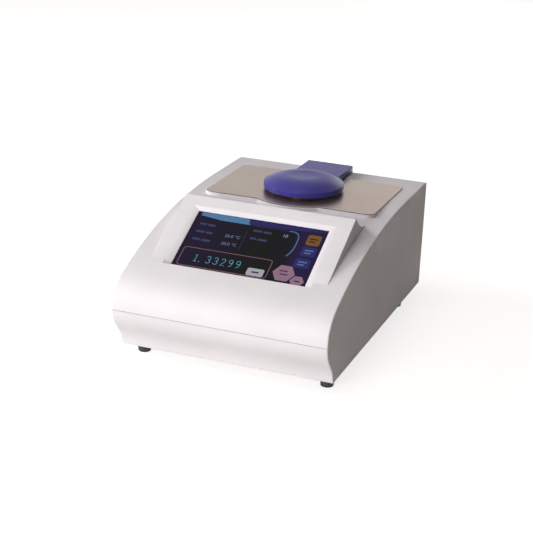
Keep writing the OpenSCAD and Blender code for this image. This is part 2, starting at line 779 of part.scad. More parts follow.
module objective_lens() {
    color([0.8, 0.9, 0.95, 0.5]) in_housing() on_path(1) translate([0, 0, 30]) lens(10 - slip, 4, 3);
}

detector_z = objective_l;
detector_w = 44;
detector_t = 20;

module detector_housing() {
    color(plastic_black) in_housing() on_path(1) difference() {
        translate([-detector_w / 2, -detector_w / 2, detector_z]) cube([detector_w, detector_w, detector_t]);
        difference() {
            translate([-detector_w / 2 + 2.5, -detector_w / 2 + 2.5, detector_z + 2.5])
                cube([detector_w - 5, detector_w - 5, detector_t]);
            for (x = [-18, 18], y = [-18, 18]) translate([x, y, detector_z]) cylinder(r = 3.6, h = detector_t);
        }
        translate([0, 0, detector_z - cut]) cylinder(r = 10, h = 5);
        for (x = [-18, 18], y = [-18, 18]) translate([x, y, detector_z + detector_t - 9])
            cylinder(r = 1.25, h = 10);
    }
}

module detector_board() {
    color(board_green) in_housing() on_path(1) difference() {
        union() {
            translate([-detector_w / 2, -detector_w / 2, detector_z + detector_t])
                cube([detector_w, detector_w, board_t]);
            translate([-4, -15, detector_z + detector_t - 3]) cube([8, 30, 3.5]);
            translate([-5, -8, detector_z + detector_t + board_t / 2]) cube([10, 16, 5]);
        }
        for (x = [-18, 18], y = [-18, 18]) translate([x, y, detector_z + detector_t - cut])
            cylinder(r = 1.4, h = 4);
    }
}

module peltier_module() {
    color("whitesmoke") in_housing() span([-peltier_w / 2, stage_s - peltier_w / 2, sink_top],
        [peltier_w / 2, stage_s + peltier_w / 2, block_low]);
}

module heat_sink() {
    color(alloy) in_housing() difference() {
        union() {
            span([-4 * fin_gap - fin_t / 2, stage_s - 35, sink_top - sink_base_t],
                [4 * fin_gap + fin_t / 2, stage_s + 35, sink_top]);
            for (i = [-4:4]) span([i * fin_gap - fin_t / 2, stage_s - 35, sink_low],
                [i * fin_gap + fin_t / 2, stage_s + 35, sink_top - cut]);
        }
        both_sides() for (d = [-1, 1])
            rod(sink_screw_x, stage_s + d * sink_screw_s, sink_low, sink_top + cut, 1.3);
    }
}

// Short screws hold the heat sink, thick self-tapping ones the fan between two fins
module sink_screws() {
    tap_r = (fin_gap - fin_t) / 2 - slip;
    color(zinc) in_housing() both_sides() for (d = [-1, 1]) {
        screw_up(sink_screw_x, stage_s + d * sink_screw_s, sink_top - sink_base_t,
            sink_base_t + peltier_t + 8, 1.2, 2.4);
        screw_up(sink_screw_x, stage_s + d * sink_screw_x, fan_low, fan_t + 8, tap_r, 4);
    }
}

module fan_frame() {
    color(plastic_black) in_housing() translate([0, stage_s, fan_low]) difference() {
        union() {
            difference() {
                translate([-fan_w / 2, -fan_w / 2, 0]) cube([fan_w, fan_w, fan_t]);
                translate([0, 0, -cut]) cylinder(r = fan_duct_r, h = fan_t + 2 * cut);
            }
            for (a = [30:120:270]) rotate([0, 0, a]) translate([0, -2, 0]) cube([fan_duct_r + cut, 4, 2]);
            cylinder(r = fan_hub_r, h = 2);
            cylinder(r = 4, h = fan_t - 5);
        }
        translate([0, 0, 1]) cylinder(r = fan_shaft_r + slip, h = fan_t);
        both_sides() for (d = [-1, 1]) translate([sink_screw_x, d * sink_screw_x, -cut])
            cylinder(r = 2.6, h = fan_t + 2 * cut);
    }
}

module fan_rotor() {
    blade_r = fan_duct_r - 1.2;
    low = 3;
    high = fan_t - 1.2;
    color([0.16, 0.16, 0.17]) in_housing() translate([0, stage_s, fan_low]) union() {
        difference() {
            translate([0, 0, low]) cylinder(r = fan_hub_r, h = high - low);
            translate([0, 0, low - cut]) cylinder(r = fan_hub_r - 1.5, h = high - low - 0.8);
        }
        translate([0, 0, 1.2]) cylinder(r = fan_shaft_r, h = high - 1.5);
        intersection() {
            difference() {
                translate([0, 0, low + 0.3]) cylinder(r = blade_r, h = high - low - 0.6);
                translate([0, 0, -cut]) cylinder(r = fan_hub_r - 0.7, h = fan_t + 2 * cut);
            }
            for (i = [0:fan_blades - 1]) rotate([0, 0, i * 360 / fan_blades])
                translate([0, 0, fan_t / 2 + 0.9]) rotate([42, 0, 0])
                    translate([0, -9, -0.7]) cube([fan_w, 18, 1.4]);
        }
    }
}

module temperature_sensor() {
    color(zinc) in_housing() bar(12, block_low + 12, stage_s - block_l / 2 - 14, stage_s - 12, 2);
}

module frame_posts() {
    color(zinc) in_housing() both_sides() for (d = [-1, 1]) difference() {
        rod(post_x, stage_s + d * post_s, floor_h, stage_low, post_r);
        rod(post_x, stage_s + d * post_s, floor_h - cut, floor_h + 12, 1.25);
        rod(post_x, stage_s + d * post_s, stage_low - 12, stage_low + cut, 1.25);
    }
}

module chassis_plate() {
    color(zinc) in_housing() difference() {
        span([-chassis_w / 2, chassis_front, chassis_low], [chassis_w / 2, chassis_back, floor_h]);
        rod(0, stage_s, chassis_low - cut, floor_h + cut, fan_duct_r);
        both_sides() {
            for (s = chassis_boss_s) rod(chassis_boss_x, s, chassis_low - cut, floor_h + cut, m3_free_r);
            for (d = [-1, 1]) rod(post_x, stage_s + d * post_s, chassis_low - cut, floor_h + cut, m3_free_r);
        }
    }
}

module chassis_screws() {
    color(zinc) in_housing() both_sides() {
        for (s = chassis_boss_s) screw_down(chassis_boss_x, s, floor_h, floor_h - wall / 2 - 0.5);
        for (d = [-1, 1]) {
            screw_up(post_x, stage_s + d * post_s, chassis_low, chassis_t + 10, 1.2);
            screw_down(post_x, stage_s + d * post_s, flange_low, stage_t + 10, 1.2);
        }
    }
}

module supply_tray() {
    x1 = supply_x + supply_w;
    s1 = supply_s + supply_l;
    color(zinc) in_housing() difference() {
        union() {
            span([supply_x, supply_s, floor_h], [x1, s1, floor_h + sheet_t]);
            span([supply_x, supply_s, floor_h], [supply_x + sheet_t, s1, floor_h + supply_h - sheet_t]);
            span([x1 - sheet_t, supply_s, floor_h], [x1, s1, floor_h + supply_h - sheet_t]);
            for (x = [supply_x + 8, x1 - 8], s = [supply_s + 8, s1 - 8])
                rod(x, s, floor_h, floor_h + 6, standoff_r);
        }
        for (s = [supply_s + 16:12:s1 - 12]) span([supply_x - cut, s - 2, floor_h + 12],
            [supply_x + sheet_t + cut, s + 2, floor_h + 28]);
    }
}

module supply_cover() {
    x1 = supply_x + supply_w;
    s1 = supply_s + supply_l;
    top = floor_h + supply_h;
    color(zinc) in_housing() difference() {
        union() {
            span([supply_x, supply_s, top - sheet_t], [x1, s1, top]);
            for (s = [supply_s, s1 - sheet_t]) span([supply_x + sheet_t + 0.1, s, floor_h + sheet_t + 0.1],
                [x1 - sheet_t - 0.1, s + sheet_t, top - 0.5]);
        }
        for (x = [supply_x + 14:11:x1 - 12], s = [supply_s + 15:15:s1 - 12])
            rod(x, s, top - 3, top + cut, 2.5);
    }
}

module supply_board() {
    x0 = supply_x + 4;
    x1 = supply_x + supply_w - 4;
    low = floor_h + 6;
    color([0.55, 0.42, 0.22]) in_housing() union() {
        span([x0, supply_s + 4, low], [x1, supply_s + supply_l - 4, low + board_t]);
        span([x0 + 24, supply_s + 44, low], [x0 + 54, supply_s + 72, low + 25]);
        for (s = [24, 92]) rod(x0 + 14, supply_s + s, low, low + 25, 8);
        rod(x0 + 60, supply_s + 24, low, low + 20, 6);
        span([x0 + 30, supply_s + 88, low], [x0 + 62, supply_s + 92, low + 24]);
        span([x0 + 4, supply_s + supply_l - 16, low], [x0 + 24, supply_s + supply_l - 5, low + 12]);
    }
}

board_screw_in = 5;
board_screws_at = [for (x = [board_x + board_screw_in, board_x + board_w - board_screw_in],
    s = [board_s + board_screw_in, board_s + board_l - board_screw_in]) [x, s]];
ports_screws_at = [for (x = [ports_x + 4, ports_x + ports_w - 4], s = [ports_s + 4, ports_s + ports_l - 14])
    [x, s]];

module main_board() {
    top = board_h + board_t;
    color(board_green) in_housing() difference() {
        union() {
            span([board_x, board_s, board_h], [board_x + board_w, board_s + board_l, top]);
            span([board_x + 38, board_s + 50, board_h], [board_x + 62, board_s + 74, top + 3]);
            span([board_x + 70, board_s + 52, board_h], [board_x + 84, board_s + 64, top + 1.5]);
            span([board_x + 70, board_s + 70, board_h], [board_x + 84, board_s + 82, top + 1.5]);
            span([board_x + 36, board_s + 4, board_h], [board_x + 52, board_s + 14, top + 7.4]);
            span([board_x + 2, board_s + 32, board_h], [board_x + 12, board_s + 48, top + 9]);
            for (x = [10, 30, 50, 82]) span([board_x + x, board_s + board_l - 12, board_h],
                [board_x + x + 8, board_s + board_l - 2, top + 8]);
            for (x = [24, 32], s = [34, 44]) rod(board_x + x, board_s + s, board_h, top + 9, 3);
        }
        for (p = board_screws_at) rod(p[0], p[1], board_h - cut, top + cut, 1.4);
    }
}

module board_standoffs() {
    color("gold") in_housing() {
        for (p = board_screws_at) difference() {
            rod(p[0], p[1], floor_h, board_h, standoff_r);
            rod(p[0], p[1], floor_h + 1, board_h + cut, 1.25);
        }
        for (p = ports_screws_at) difference() {
            rod(p[0], p[1], floor_h, ports_h, standoff_r);
            rod(p[0], p[1], floor_h + 1, ports_h + cut, 1.25);
        }
    }
}

module board_screws() {
    color(zinc) in_housing() {
        for (p = board_screws_at) screw_down(p[0], p[1], board_h + board_t, 7, 1.2, 2.4);
        for (p = ports_screws_at) screw_down(p[0], p[1], ports_h + board_t, 7, 1.2, 2.4);
    }
}

module ports_board() {
    color(board_green) in_housing() difference() {
        union() {
            span([ports_x, ports_s, ports_h], [ports_x + ports_w, panel_in_s - 0.5, ports_h + board_t]);
            span([ports_x + 14, ports_s + 3, ports_h], [ports_x + 26, ports_s + 13, ports_h + board_t + 2]);
        }
        for (p = ports_screws_at) rod(p[0], p[1], ports_h - cut, ports_h + board_t + cut, 1.4);
    }
}

// Nine-way plug: flange outside the panel, hollow shell with its pins inside
module serial_port() {
    mid = ports_h + board_t + 7.5;
    color(zinc) in_housing() union() {
        difference() {
            union() {
                span([serial_x - 15.4, panel_out_s, mid - 6.2], [serial_x + 15.4, panel_out_s + 1, mid + 6.2]);
                span([serial_x - 9.2, panel_in_s - 9, mid - 5], [serial_x + 9.2, body_d, mid + 5]);
                span([serial_x - 8, panel_in_s - 12, ports_h + board_t], [serial_x + 8, panel_in_s - 3, mid]);
            }
            span([serial_x - 8.3, panel_in_s - 1.5, mid - 4.1], [serial_x + 8.3, body_d + cut, mid + 4.1]);
        }
        for (i = [-2:2]) bar(serial_x + i * 2.8, mid + 1.4, panel_in_s - 2, panel_in_s - 0.3, 0.5);
        for (i = [-1.5:1.5]) bar(serial_x + i * 2.8, mid - 1.4, panel_in_s - 2, panel_in_s - 0.3, 0.5);
        for (x = [-12.5, 12.5]) translate([serial_x + x, panel_out_s + 0.5, mid]) rotate([-90, 0, 0])
            cylinder(r = 2.2, h = 2, $fn = 6);
    }
}

module usb_port() {
    low = ports_h + board_t;
    color(zinc) in_housing() union() {
        difference() {
            span([usb_x - 7, panel_in_s - 13, low], [usb_x + 7, panel_out_s + 0.5, low + 7]);
            span([usb_x - 6.3, panel_in_s - 11, low + 0.7], [usb_x + 6.3, body_d + cut, low + 6.3]);
        }
        span([usb_x - 5.5, panel_in_s - 12, low + 3.6], [usb_x + 5.5, panel_in_s - 2.4, low + 5.4]);
    }
}

module power_inlet() {
    drawer_h = inlet_h + 14;
    socket_h = inlet_h - 8;
    color(plastic_black) in_housing() union() {
        difference() {
            union() {
                span([inlet_x - inlet_w / 2, panel_in_s - 26, inlet_h - inlet_l / 2],
                    [inlet_x + inlet_w / 2, panel_out_s + cut, inlet_h + inlet_l / 2]);
                span([inlet_x - inlet_w / 2 - 2, panel_out_s, inlet_h - inlet_l / 2 - 2],
                    [inlet_x + inlet_w / 2 + 2, body_d, inlet_h + inlet_l / 2 + 2]);
            }
            span([inlet_x - 11.8, body_d - 18, socket_h - 8.2], [inlet_x + 11.8, body_d + cut, socket_h + 8.2]);
            span([inlet_x - 10, body_d - 26, drawer_h - 5], [inlet_x + 10, body_d + cut, drawer_h + 5]);
        }
        for (x = [-7, 7]) span([inlet_x + x - 1, body_d - 19, socket_h - 3], [inlet_x + x + 1, body_d - 6, socket_h + 1]);
        span([inlet_x - 1, body_d - 19, socket_h + 2.5], [inlet_x + 1, body_d - 6, socket_h + 6.5]);
    }
}

module fuse_drawer() {
    drawer_h = inlet_h + 14;
    color([0.14, 0.14, 0.15]) in_housing() difference() {
        span([inlet_x - 9.7, body_d - 25.7, drawer_h - 4.7], [inlet_x + 9.7, body_d - 0.3, drawer_h + 4.7]);
        span([inlet_x - 7.5, body_d - 23.7, drawer_h - 2.6], [inlet_x + 7.5, body_d - 3, drawer_h + 6]);
        span([inlet_x - 4, body_d - 1.6, drawer_h - 6], [inlet_x + 4, body_d + cut, drawer_h - 3]);
    }
}

module power_switch() {
    color(plastic_black) in_housing() difference() {
        union() {
            span([switch_x - 7, panel_in_s - 18, switch_h - 9.5], [switch_x + 7, panel_out_s + cut, switch_h + 9.5]);
            span([switch_x - 8.5, panel_out_s, switch_h - 11.5], [switch_x + 8.5, body_d - 1, switch_h + 11.5]);
        }
        span([switch_x - 5.5, body_d - 14, switch_h - 8.8], [switch_x + 5.5, body_d + cut, switch_h + 8.8]);
        translate([switch_x - 6.4, rocker_s, switch_h]) rotate([0, 90, 0])
            cylinder(r = 1.2 + slip, h = 12.8);
    }
}

module switch_rocker() {
    color(plastic_black) in_housing() translate([switch_x, rocker_s, switch_h]) {
        rotate([-rocker_tilt, 0, 0]) translate([-5.2, 0, 0]) rotate([90, 0, 90]) linear_extrude(10.4)
            polygon([[5.2, -7.6], [6.2, -7.6], [4.6, 0], [6.2, 7.6], [5.2, 7.6], [-1, 6.4],
                [-3, 3], [-3, -3], [-1, -6.4]]);
        translate([-6.2, 0, 0]) rotate([0, 90, 0]) cylinder(r = 1.2, h = 12.4);
    }
}

// Wires that the case holds at both ends, with their turning points chosen by hand
mains_r = 1.4;
signal_r = 1.2;
module mains_wiring() {
    out_s = supply_s + supply_l + 0.2;
    back_s = panel_in_s - 26.2;
    color("saddlebrown") in_housing() {
        for (k = [0, 1]) wire([[inlet_x - 4 + 8 * k, back_s, 34], [inlet_x - 4 + 8 * k, back_s - 12, 34],
            [-82 + 5 * k, back_s - 26, 16], [-82 + 5 * k, 200, 16], [-78 + 5 * k, 186, 26],
            [-78 + 5 * k, out_s, 26]], mains_r);
        wire([[inlet_x + 9, back_s, 46], [inlet_x + 9, back_s - 8, 46], [switch_x - 2, back_s - 8, 42],
            [switch_x, back_s + 4, 40], [switch_x, panel_in_s - 18.2, 40]], mains_r);
    }
}

module signal_wiring() {
    plug_s = board_s + board_l - 1.8;
    plug_h = board_h + board_t + 4;
    led_z = source_l + 12.2;
    led_x = -face_mid[0] - led_z * cos(path_tilt);
    led_h = face_mid[1] - led_z * sin(path_tilt);
    det_z = detector_z + detector_t + board_t / 2 + 5.2;
    det_x = face_mid[0] + det_z * cos(path_tilt);
    det_h = face_mid[1] - det_z * sin(path_tilt);
    color("dimgray") in_housing() {
        wire([[led_x, stage_s, led_h], [led_x - 6 * cos(path_tilt), stage_s, led_h - 6 * sin(path_tilt)], [-62, stage_s - 48, 18],
            [2, plug_s + 14, 16], [board_x + 14, plug_s + 6, plug_h], [board_x + 14, plug_s, plug_h]], signal_r);
        wire([[det_x, stage_s, det_h], [det_x + 5 * cos(path_tilt), stage_s, det_h - 5 * sin(path_tilt)], [106, stage_s - 27, 20],
            [board_x + 88, plug_s + 14, 17], [board_x + 86, plug_s + 6, plug_h],
            [board_x + 86, plug_s, plug_h]], signal_r);
        wire([[fan_w / 2 + 0.2 + signal_r, stage_s - 10, fan_low + 6], [46, stage_s - 24, 32], [54, plug_s + 20, 17],
            [board_x + 54, plug_s + 6, plug_h], [board_x + 54, plug_s, plug_h]], signal_r);
        wire([[12, stage_s - block_l / 2 - 14.2, block_low + 12], [12, stage_s - block_l / 2 - 22, block_low + 12],
            [24, plug_s + 16, 30], [board_x + 34, plug_s + 6, plug_h], [board_x + 34, plug_s, plug_h]], signal_r);
        wire([[supply_x + supply_w + 0.2, board_s + 40, floor_h + 28], [supply_x + supply_w + 4, board_s + 40,
            floor_h + 28], [board_x + 7, board_s + 40, floor_h + 28],
            [board_x + 7, board_s + 40, board_h + board_t + 9.2]], mains_r);
    }
}

module hinge_block() {
    color(zinc) in_housing() difference() {
        union() {
            span([-22, pin_s - 12, skin_h - 4], [22, panel_in_s - 0.2, skin_h]);
            span([-lug_w / 2, pin_s - lug_r, skin_h - 2], [lug_w / 2, pin_s + lug_r, pin_h]);
            across(lug_w) translate([pin_s, pin_h]) circle(r = lug_r);
        }
        across(lug_w + 2) translate([pin_s, pin_h]) circle(r = pin_r + slip);
        both_sides() rod(hinge_screw_x, hinge_screw_s, skin_h - 5, skin_h + cut, m3_tap_r);
    }
}

module hinge_pin() {
    color(alloy) in_housing() across(arm_w - 1.6, 0.8) translate([pin_s, pin_h]) circle(r = pin_r);
}

module lid_arm() {
    notch_w = lug_w + 2 * lug_gap;
    color(lid_blue) in_housing() difference() {
        union() {
            across(arm_w) {
                translate([stage_s + 39, arm_low]) square([pin_s - stage_s - 39, arm_t]);
                translate([pin_s - cut, arm_low]) square([arm_end_r + cut, arm_t - arm_end_r]);
                translate([pin_s, arm_top - arm_end_r]) circle(r = arm_end_r);
                translate([pin_s, pin_h]) circle(r = barrel_r);
            }
            rod(0, stage_s, carrier_low, carrier_low + carrier_t, lid_r - lid_wall - 0.5);
        }
        span([-notch_w / 2, pin_s - lug_r - lug_gap, body_h], [notch_w / 2, body_d, pin_h + lug_r + 0.7]);
        across(arm_w - 1.6, 0.8) translate([pin_s, pin_h]) circle(r = pin_r + 0.01);
        for (a = [30:120:270]) translate([0, stage_s, 0]) rotate([0, 0, a])
            rod(lid_screw_r, 0, carrier_low - cut, carrier_low + carrier_t + cut, m3_free_r);
    }
}

// Half section of the cap's outside, set in by gap
function cap_run(gap) = concat(
    [[lid_r - gap, cap_low]],
    [for (a = [0:15:60]) [lid_r - 3 + (3 - gap) * cos(a), cap_low + 5.5 + (3 - gap) * sin(a)]],
    [for (t = [0.25:0.25:1]) beside([[lid_r - 1.5, cap_low + 8.1], [lid_r - 8, cap_low + 11.5],
        [34, cap_top - 1.2], [24, cap_top - 0.3]], t, -gap)],
    [[16, cap_top - gap], [0, cap_top - gap]]);

module lid_cap() {
    color(lid_blue) in_housing() translate([0, stage_s, 0]) difference() {
        union() {
            difference() {
                rotate_extrude() polygon(concat([[0, cap_low]], cap_run(0)));
                translate([0, 0, 0]) rotate_extrude()
                    polygon(concat([[0, cap_low - cut], [lid_r - lid_wall, cap_low - cut]], cap_run(lid_wall)));
            }
            for (a = [30:120:270]) rotate([0, 0, a])
                rod(lid_screw_r, 0, carrier_low + carrier_t, cap_top - lid_wall / 2, 3.5);
        }
        for (a = [30:120:270]) rotate([0, 0, a])
            rod(lid_screw_r, 0, carrier_low + carrier_t - cut, carrier_low + carrier_t + 6, m3_tap_r);
        span([-arm_w / 2 - 0.1, 30, cap_low - cut], [arm_w / 2 + 0.1, lid_r + cut, arm_top + 0.1]);
    }
}

module lid_liner() {
    color("whitesmoke") in_housing() difference() {
        rod(0, stage_s, liner_low, carrier_low, dish_r + 5);
        for (a = [30:120:270]) translate([0, stage_s, 0]) rotate([0, 0, a])
            rod(lid_screw_r, 0, liner_low - cut, carrier_low + cut, m3_head_r + fit);
        span([-arm_w / 2 - 1, stage_s + 38.5, liner_low - cut], [arm_w / 2 + 1, stage_s + 50, carrier_low + cut]);
    }
}

module lid_seal() {
    color(rubber_black) in_housing() difference() {
        rod(0, stage_s, rim_top + seal_gap, liner_low, dish_r + 1);
        rod(0, stage_s, rim_top, liner_low + cut, dish_r - dish_rim - 1);
    }
}

module lid_screws() {
    color(zinc) in_housing() translate([0, stage_s, 0]) for (a = [30:120:270]) rotate([0, 0, a])
        screw_up(lid_screw_r, 0, carrier_low, carrier_t + 5, m3_r, m3_head_r, liner_t - 0.2);
}

upper_housing();
lower_housing();
rear_panel();
top_plate();
plate_nuts();
rubber_feet();
foot_screws();
housing_screws();
case_screws();
touch_glass();
display_gasket();
lcd_panel();
display_bracket();
display_screws();
display_board();
display_ribbon();
sample_dish();
prism();
prism_seal();
stage_plate();
optics_screws();
prism_block();
source_tube();
condenser_lens();
light_source();
objective_tube();
objective_lens();
detector_housing();
detector_board();
peltier_module();
heat_sink();
sink_screws();
fan_frame();
fan_rotor();
temperature_sensor();
frame_posts();
chassis_plate();
chassis_screws();
supply_tray();
supply_cover();
supply_board();
main_board();
board_standoffs();
board_screws();
ports_board();
serial_port();
usb_port();
power_inlet();
fuse_drawer();
power_switch();
switch_rocker();
mains_wiring();
signal_wiring();
hinge_block();
hinge_pin();
lid_arm();
lid_cap();
lid_liner();
lid_seal();
lid_screws();
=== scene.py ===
# %% [markdown]
# # A digital bench refractometer
# The instrument measures how strongly a drop of liquid bends light. The drop lies on a prism in a
# steel dish, under a round lid on an arm. A moulded case holds the optics and carries a sloping
# touch screen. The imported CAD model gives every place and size. This lesson gives its outer pieces
# rounded edges, true curves and finished surfaces, one step at a time.

# %% Load the fixed frame
import math

import bmesh
import bpy
import numpy as np
from mathutils import Matrix


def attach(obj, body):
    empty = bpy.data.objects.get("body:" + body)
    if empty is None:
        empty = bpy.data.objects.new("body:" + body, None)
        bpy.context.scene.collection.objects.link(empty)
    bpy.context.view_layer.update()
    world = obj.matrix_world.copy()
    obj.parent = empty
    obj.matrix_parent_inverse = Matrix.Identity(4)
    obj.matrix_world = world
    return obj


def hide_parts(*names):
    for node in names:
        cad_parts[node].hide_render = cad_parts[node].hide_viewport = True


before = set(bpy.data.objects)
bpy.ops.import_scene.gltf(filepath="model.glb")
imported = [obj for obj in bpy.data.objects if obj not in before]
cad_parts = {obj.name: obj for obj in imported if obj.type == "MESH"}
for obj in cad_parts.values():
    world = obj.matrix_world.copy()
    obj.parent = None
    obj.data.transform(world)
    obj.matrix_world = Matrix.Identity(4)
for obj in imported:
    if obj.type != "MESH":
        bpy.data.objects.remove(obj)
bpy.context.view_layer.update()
scene = bpy.context.scene

# %% [markdown]
# ## Places and sizes
# The drawings of the case use housing places: x from the middle, s back from the nose and h up from
# the underside, in millimetres. Working in those keeps every number readable. Two small functions
# turn them into metres in the part's frame, so no piece is ever fitted by eye.

# %% Sizes of the case in millimetres
MM = 0.001
BODY_W, BODY_D, BODY_H = 250.0, 368.0, 132.5
SPLIT_H, FOOT_H = 50.0, 16.0
CONSOLE_W, RIDGE_S, RIDGE_H = 206.0, 146.8, 145.8
SLOPE = math.radians(28)
SCREEN_W, SCREEN_L, SCREEN_TOP = 157.2, 88.7, 21.8
GLASS_OUT = -3.8
STAGE_S = 262.1


def from_housing(places):
    """Metres in the part's frame: x stays, y is s less half the depth, z is h plus the feet."""
    return (np.asarray(places, float) + [0, -BODY_D / 2, FOOT_H]) * MM


def to_housing(points):
    """Housing places of points in metres, the other way round."""
    return np.asarray(points, float) / MM - [0, -BODY_D / 2, FOOT_H]


def from_panel(x, v, w):
    """Housing places on the sloping panel: v runs down the slope from the ridge and w stands out.
    s is the ridge's s less v cos and w sin of the slope; h is the ridge's less v sin plus w cos."""
    x, v, w = np.broadcast_arrays(np.asarray(x, float), v, w)
    s = RIDGE_S - v * np.cos(SLOPE) - w * np.sin(SLOPE)
    h = RIDGE_H - v * np.sin(SLOPE) + w * np.cos(SLOPE)
    return np.stack([x, s, h], axis=-1)


# %% [markdown]
# ## The camera
# The picture's camera was worked out from the case's straight edges: a long lens, a little above and
# to the right. Its own axes are built from a turn, a tilt and a slight roll. Writing the matrix down
# is safer than pointing the camera at something, because the roll is kept.

# %% Camera
TURN, TILT, ROLL = 0.357156, 0.348311, 0.0385683
CAMERA_AT = (0.5277, -1.4537, 0.6373)
FOCAL_PIXELS, PICTURE_PIXELS, SENSOR_MM = 1400, 533, 36
back = np.array([np.sin(TURN) * np.cos(TILT), -np.cos(TURN) * np.cos(TILT), np.sin(TILT)])
level = np.cross(-back, [0, 0, 1])
level /= np.linalg.norm(level)
upright = np.cross(level, -back)
right = np.cos(ROLL) * level + np.sin(ROLL) * upright
up = -np.sin(ROLL) * level + np.cos(ROLL) * upright

lens = bpy.data.cameras.new("camera")
lens.lens = FOCAL_PIXELS * SENSOR_MM / PICTURE_PIXELS
lens.sensor_width = SENSOR_MM
camera = bpy.data.objects.new("camera", lens)
scene.collection.objects.link(camera)
place = np.eye(4)
place[:3, :3] = np.column_stack([right, up, back])
place[:3, 3] = CAMERA_AT
camera.matrix_world = Matrix(place.tolist())
scene.camera = camera
print("camera lens in mm:", round(lens.lens, 2))

# %% [markdown]
# ## Building blocks for shapes
# A numpy surface is a grid of points: two parameters go in, places come out, and neighbouring points
# make four-sided faces. One function numbers the faces, one joins several grids into a closed piece.
# Points that fall together, as at the pole of a round shape, are merged, and the faces are turned
# outwards afterwards, because only a closed skin has an outside.


# %% Grids and pieces
POINTS_MEET = 1e-6


def quads(rows, cols, first=0, rows_meet=False, cols_meet=False):
    """Corner numbers of a grid's faces. Where rows or columns meet, the last joins the first."""
    i = np.arange(rows if rows_meet else rows - 1)[:, None]
    j = np.arange(cols if cols_meet else cols - 1)[None, :]
    below, beside = (i + 1) % rows, (j + 1) % cols
    corners = [i * cols + j, i * cols + beside, below * cols + beside, below * cols + j]
    return first + np.stack(corners, axis=-1).reshape(-1, 4)


def new_mesh(name, sheets):
    """One closed mesh from sheets. A sheet is (places, rows meet, columns meet, ends capped)."""
    places, faces, count = [], [], 0
    for grid, rows_meet, cols_meet, capped in sheets:
        rows, cols = grid.shape[:2]
        places.append(grid.reshape(-1, 3))
        faces += quads(rows, cols, count, rows_meet, cols_meet).tolist()
        if capped:
            faces.append(np.arange(count, count + cols)[::-1].tolist())
            faces.append(np.arange(count + (rows - 1) * cols, count + rows * cols).tolist())
        count += rows * cols
    mesh = bpy.data.meshes.new(name)
    mesh.from_pydata(from_housing(np.concatenate(places)).tolist(), [], faces)
    skin = bmesh.new()
    skin.from_mesh(mesh)
    bmesh.ops.remove_doubles(skin, verts=skin.verts, dist=POINTS_MEET)
    bmesh.ops.recalc_face_normals(skin, faces=skin.faces)
    skin.to_mesh(mesh)
    skin.free()
    return mesh


def show(name, mesh, material, body, instead_of=(), smooth=30):
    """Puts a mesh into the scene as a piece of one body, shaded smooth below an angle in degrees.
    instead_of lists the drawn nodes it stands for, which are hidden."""
    mesh.materials.clear()
    mesh.materials.append(material)
    mesh.shade_smooth()
    mesh.set_sharp_from_angle(angle=math.radians(smooth))
    piece = bpy.data.objects.new(name, mesh)
    scene.collection.objects.link(piece)
    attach(piece, body)
    if instead_of:
        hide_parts(*instead_of)
    print(f"{name}: {len(mesh.polygons)} faces")
    return piece


def show_sheets(name, sheets, slot, body="housing", instead_of=(), smooth=30):
    """Shows a piece made of sheets, in the finish that belongs to its slot."""
    return show(name, new_mesh(name, sheets), finishes[slot], body, instead_of, smooth)


def turned(profile, x=0.0, s=STAGE_S, steps=128):
    """A profile of (radius, h) points turned round an upright axis at (x, s).
    x is the axis plus radius times sine, s the axis minus radius times cosine."""
    profile = np.asarray(profile, float)
    angle = np.linspace(0, 2 * np.pi, steps, endpoint=False)
    radius = profile[:, 0][:, None]
    height = np.broadcast_to(profile[:, 1][:, None], (len(profile), steps))
    places = [x + radius * np.sin(angle), s - radius * np.cos(angle), height]
    return np.stack(np.broadcast_arrays(*places), axis=-1)


def arc(middle, radius, start, end, steps=6):
    """Points of an arc in a plane, from one angle to another in degrees."""
    angle = np.radians(np.linspace(start, end, steps))
    return np.column_stack([middle[0] + radius * np.cos(angle), middle[1] + radius * np.sin(angle)])


def bend(points, steps):
    """A smooth curve with four control points, by the usual cubic blend."""
    t = np.linspace(0, 1, steps)[:, None]
    a, b, c, d = np.asarray(points, float)
    return (1 - t) ** 3 * a + 3 * (1 - t) ** 2 * t * b + 3 * (1 - t) * t**2 * c + t**3 * d


# %% [markdown]
# ## Moulded edges on drawn pieces
# No moulded or machined edge is knife sharp: it has a small radius, and that radius is what catches
# the light. The CAD shapes are kept, because their bosses, slots and seats are right. A copy is
# merged, its flat areas are joined, and a Bevel modifier rounds only the edges that a rule picks.
# Weighted normals then keep the large faces flat and the curved ones even.


# %% Copy of a drawn piece with rounded edges
SAME_PLANE = math.radians(0.25)
COPY_SMOOTH = 24


def point_places(mesh):
    """Housing places of a mesh's points, one row each."""
    flat = np.empty(len(mesh.vertices) * 3)
    mesh.vertices.foreach_get("co", flat)
    return to_housing(flat.reshape(-1, 3))


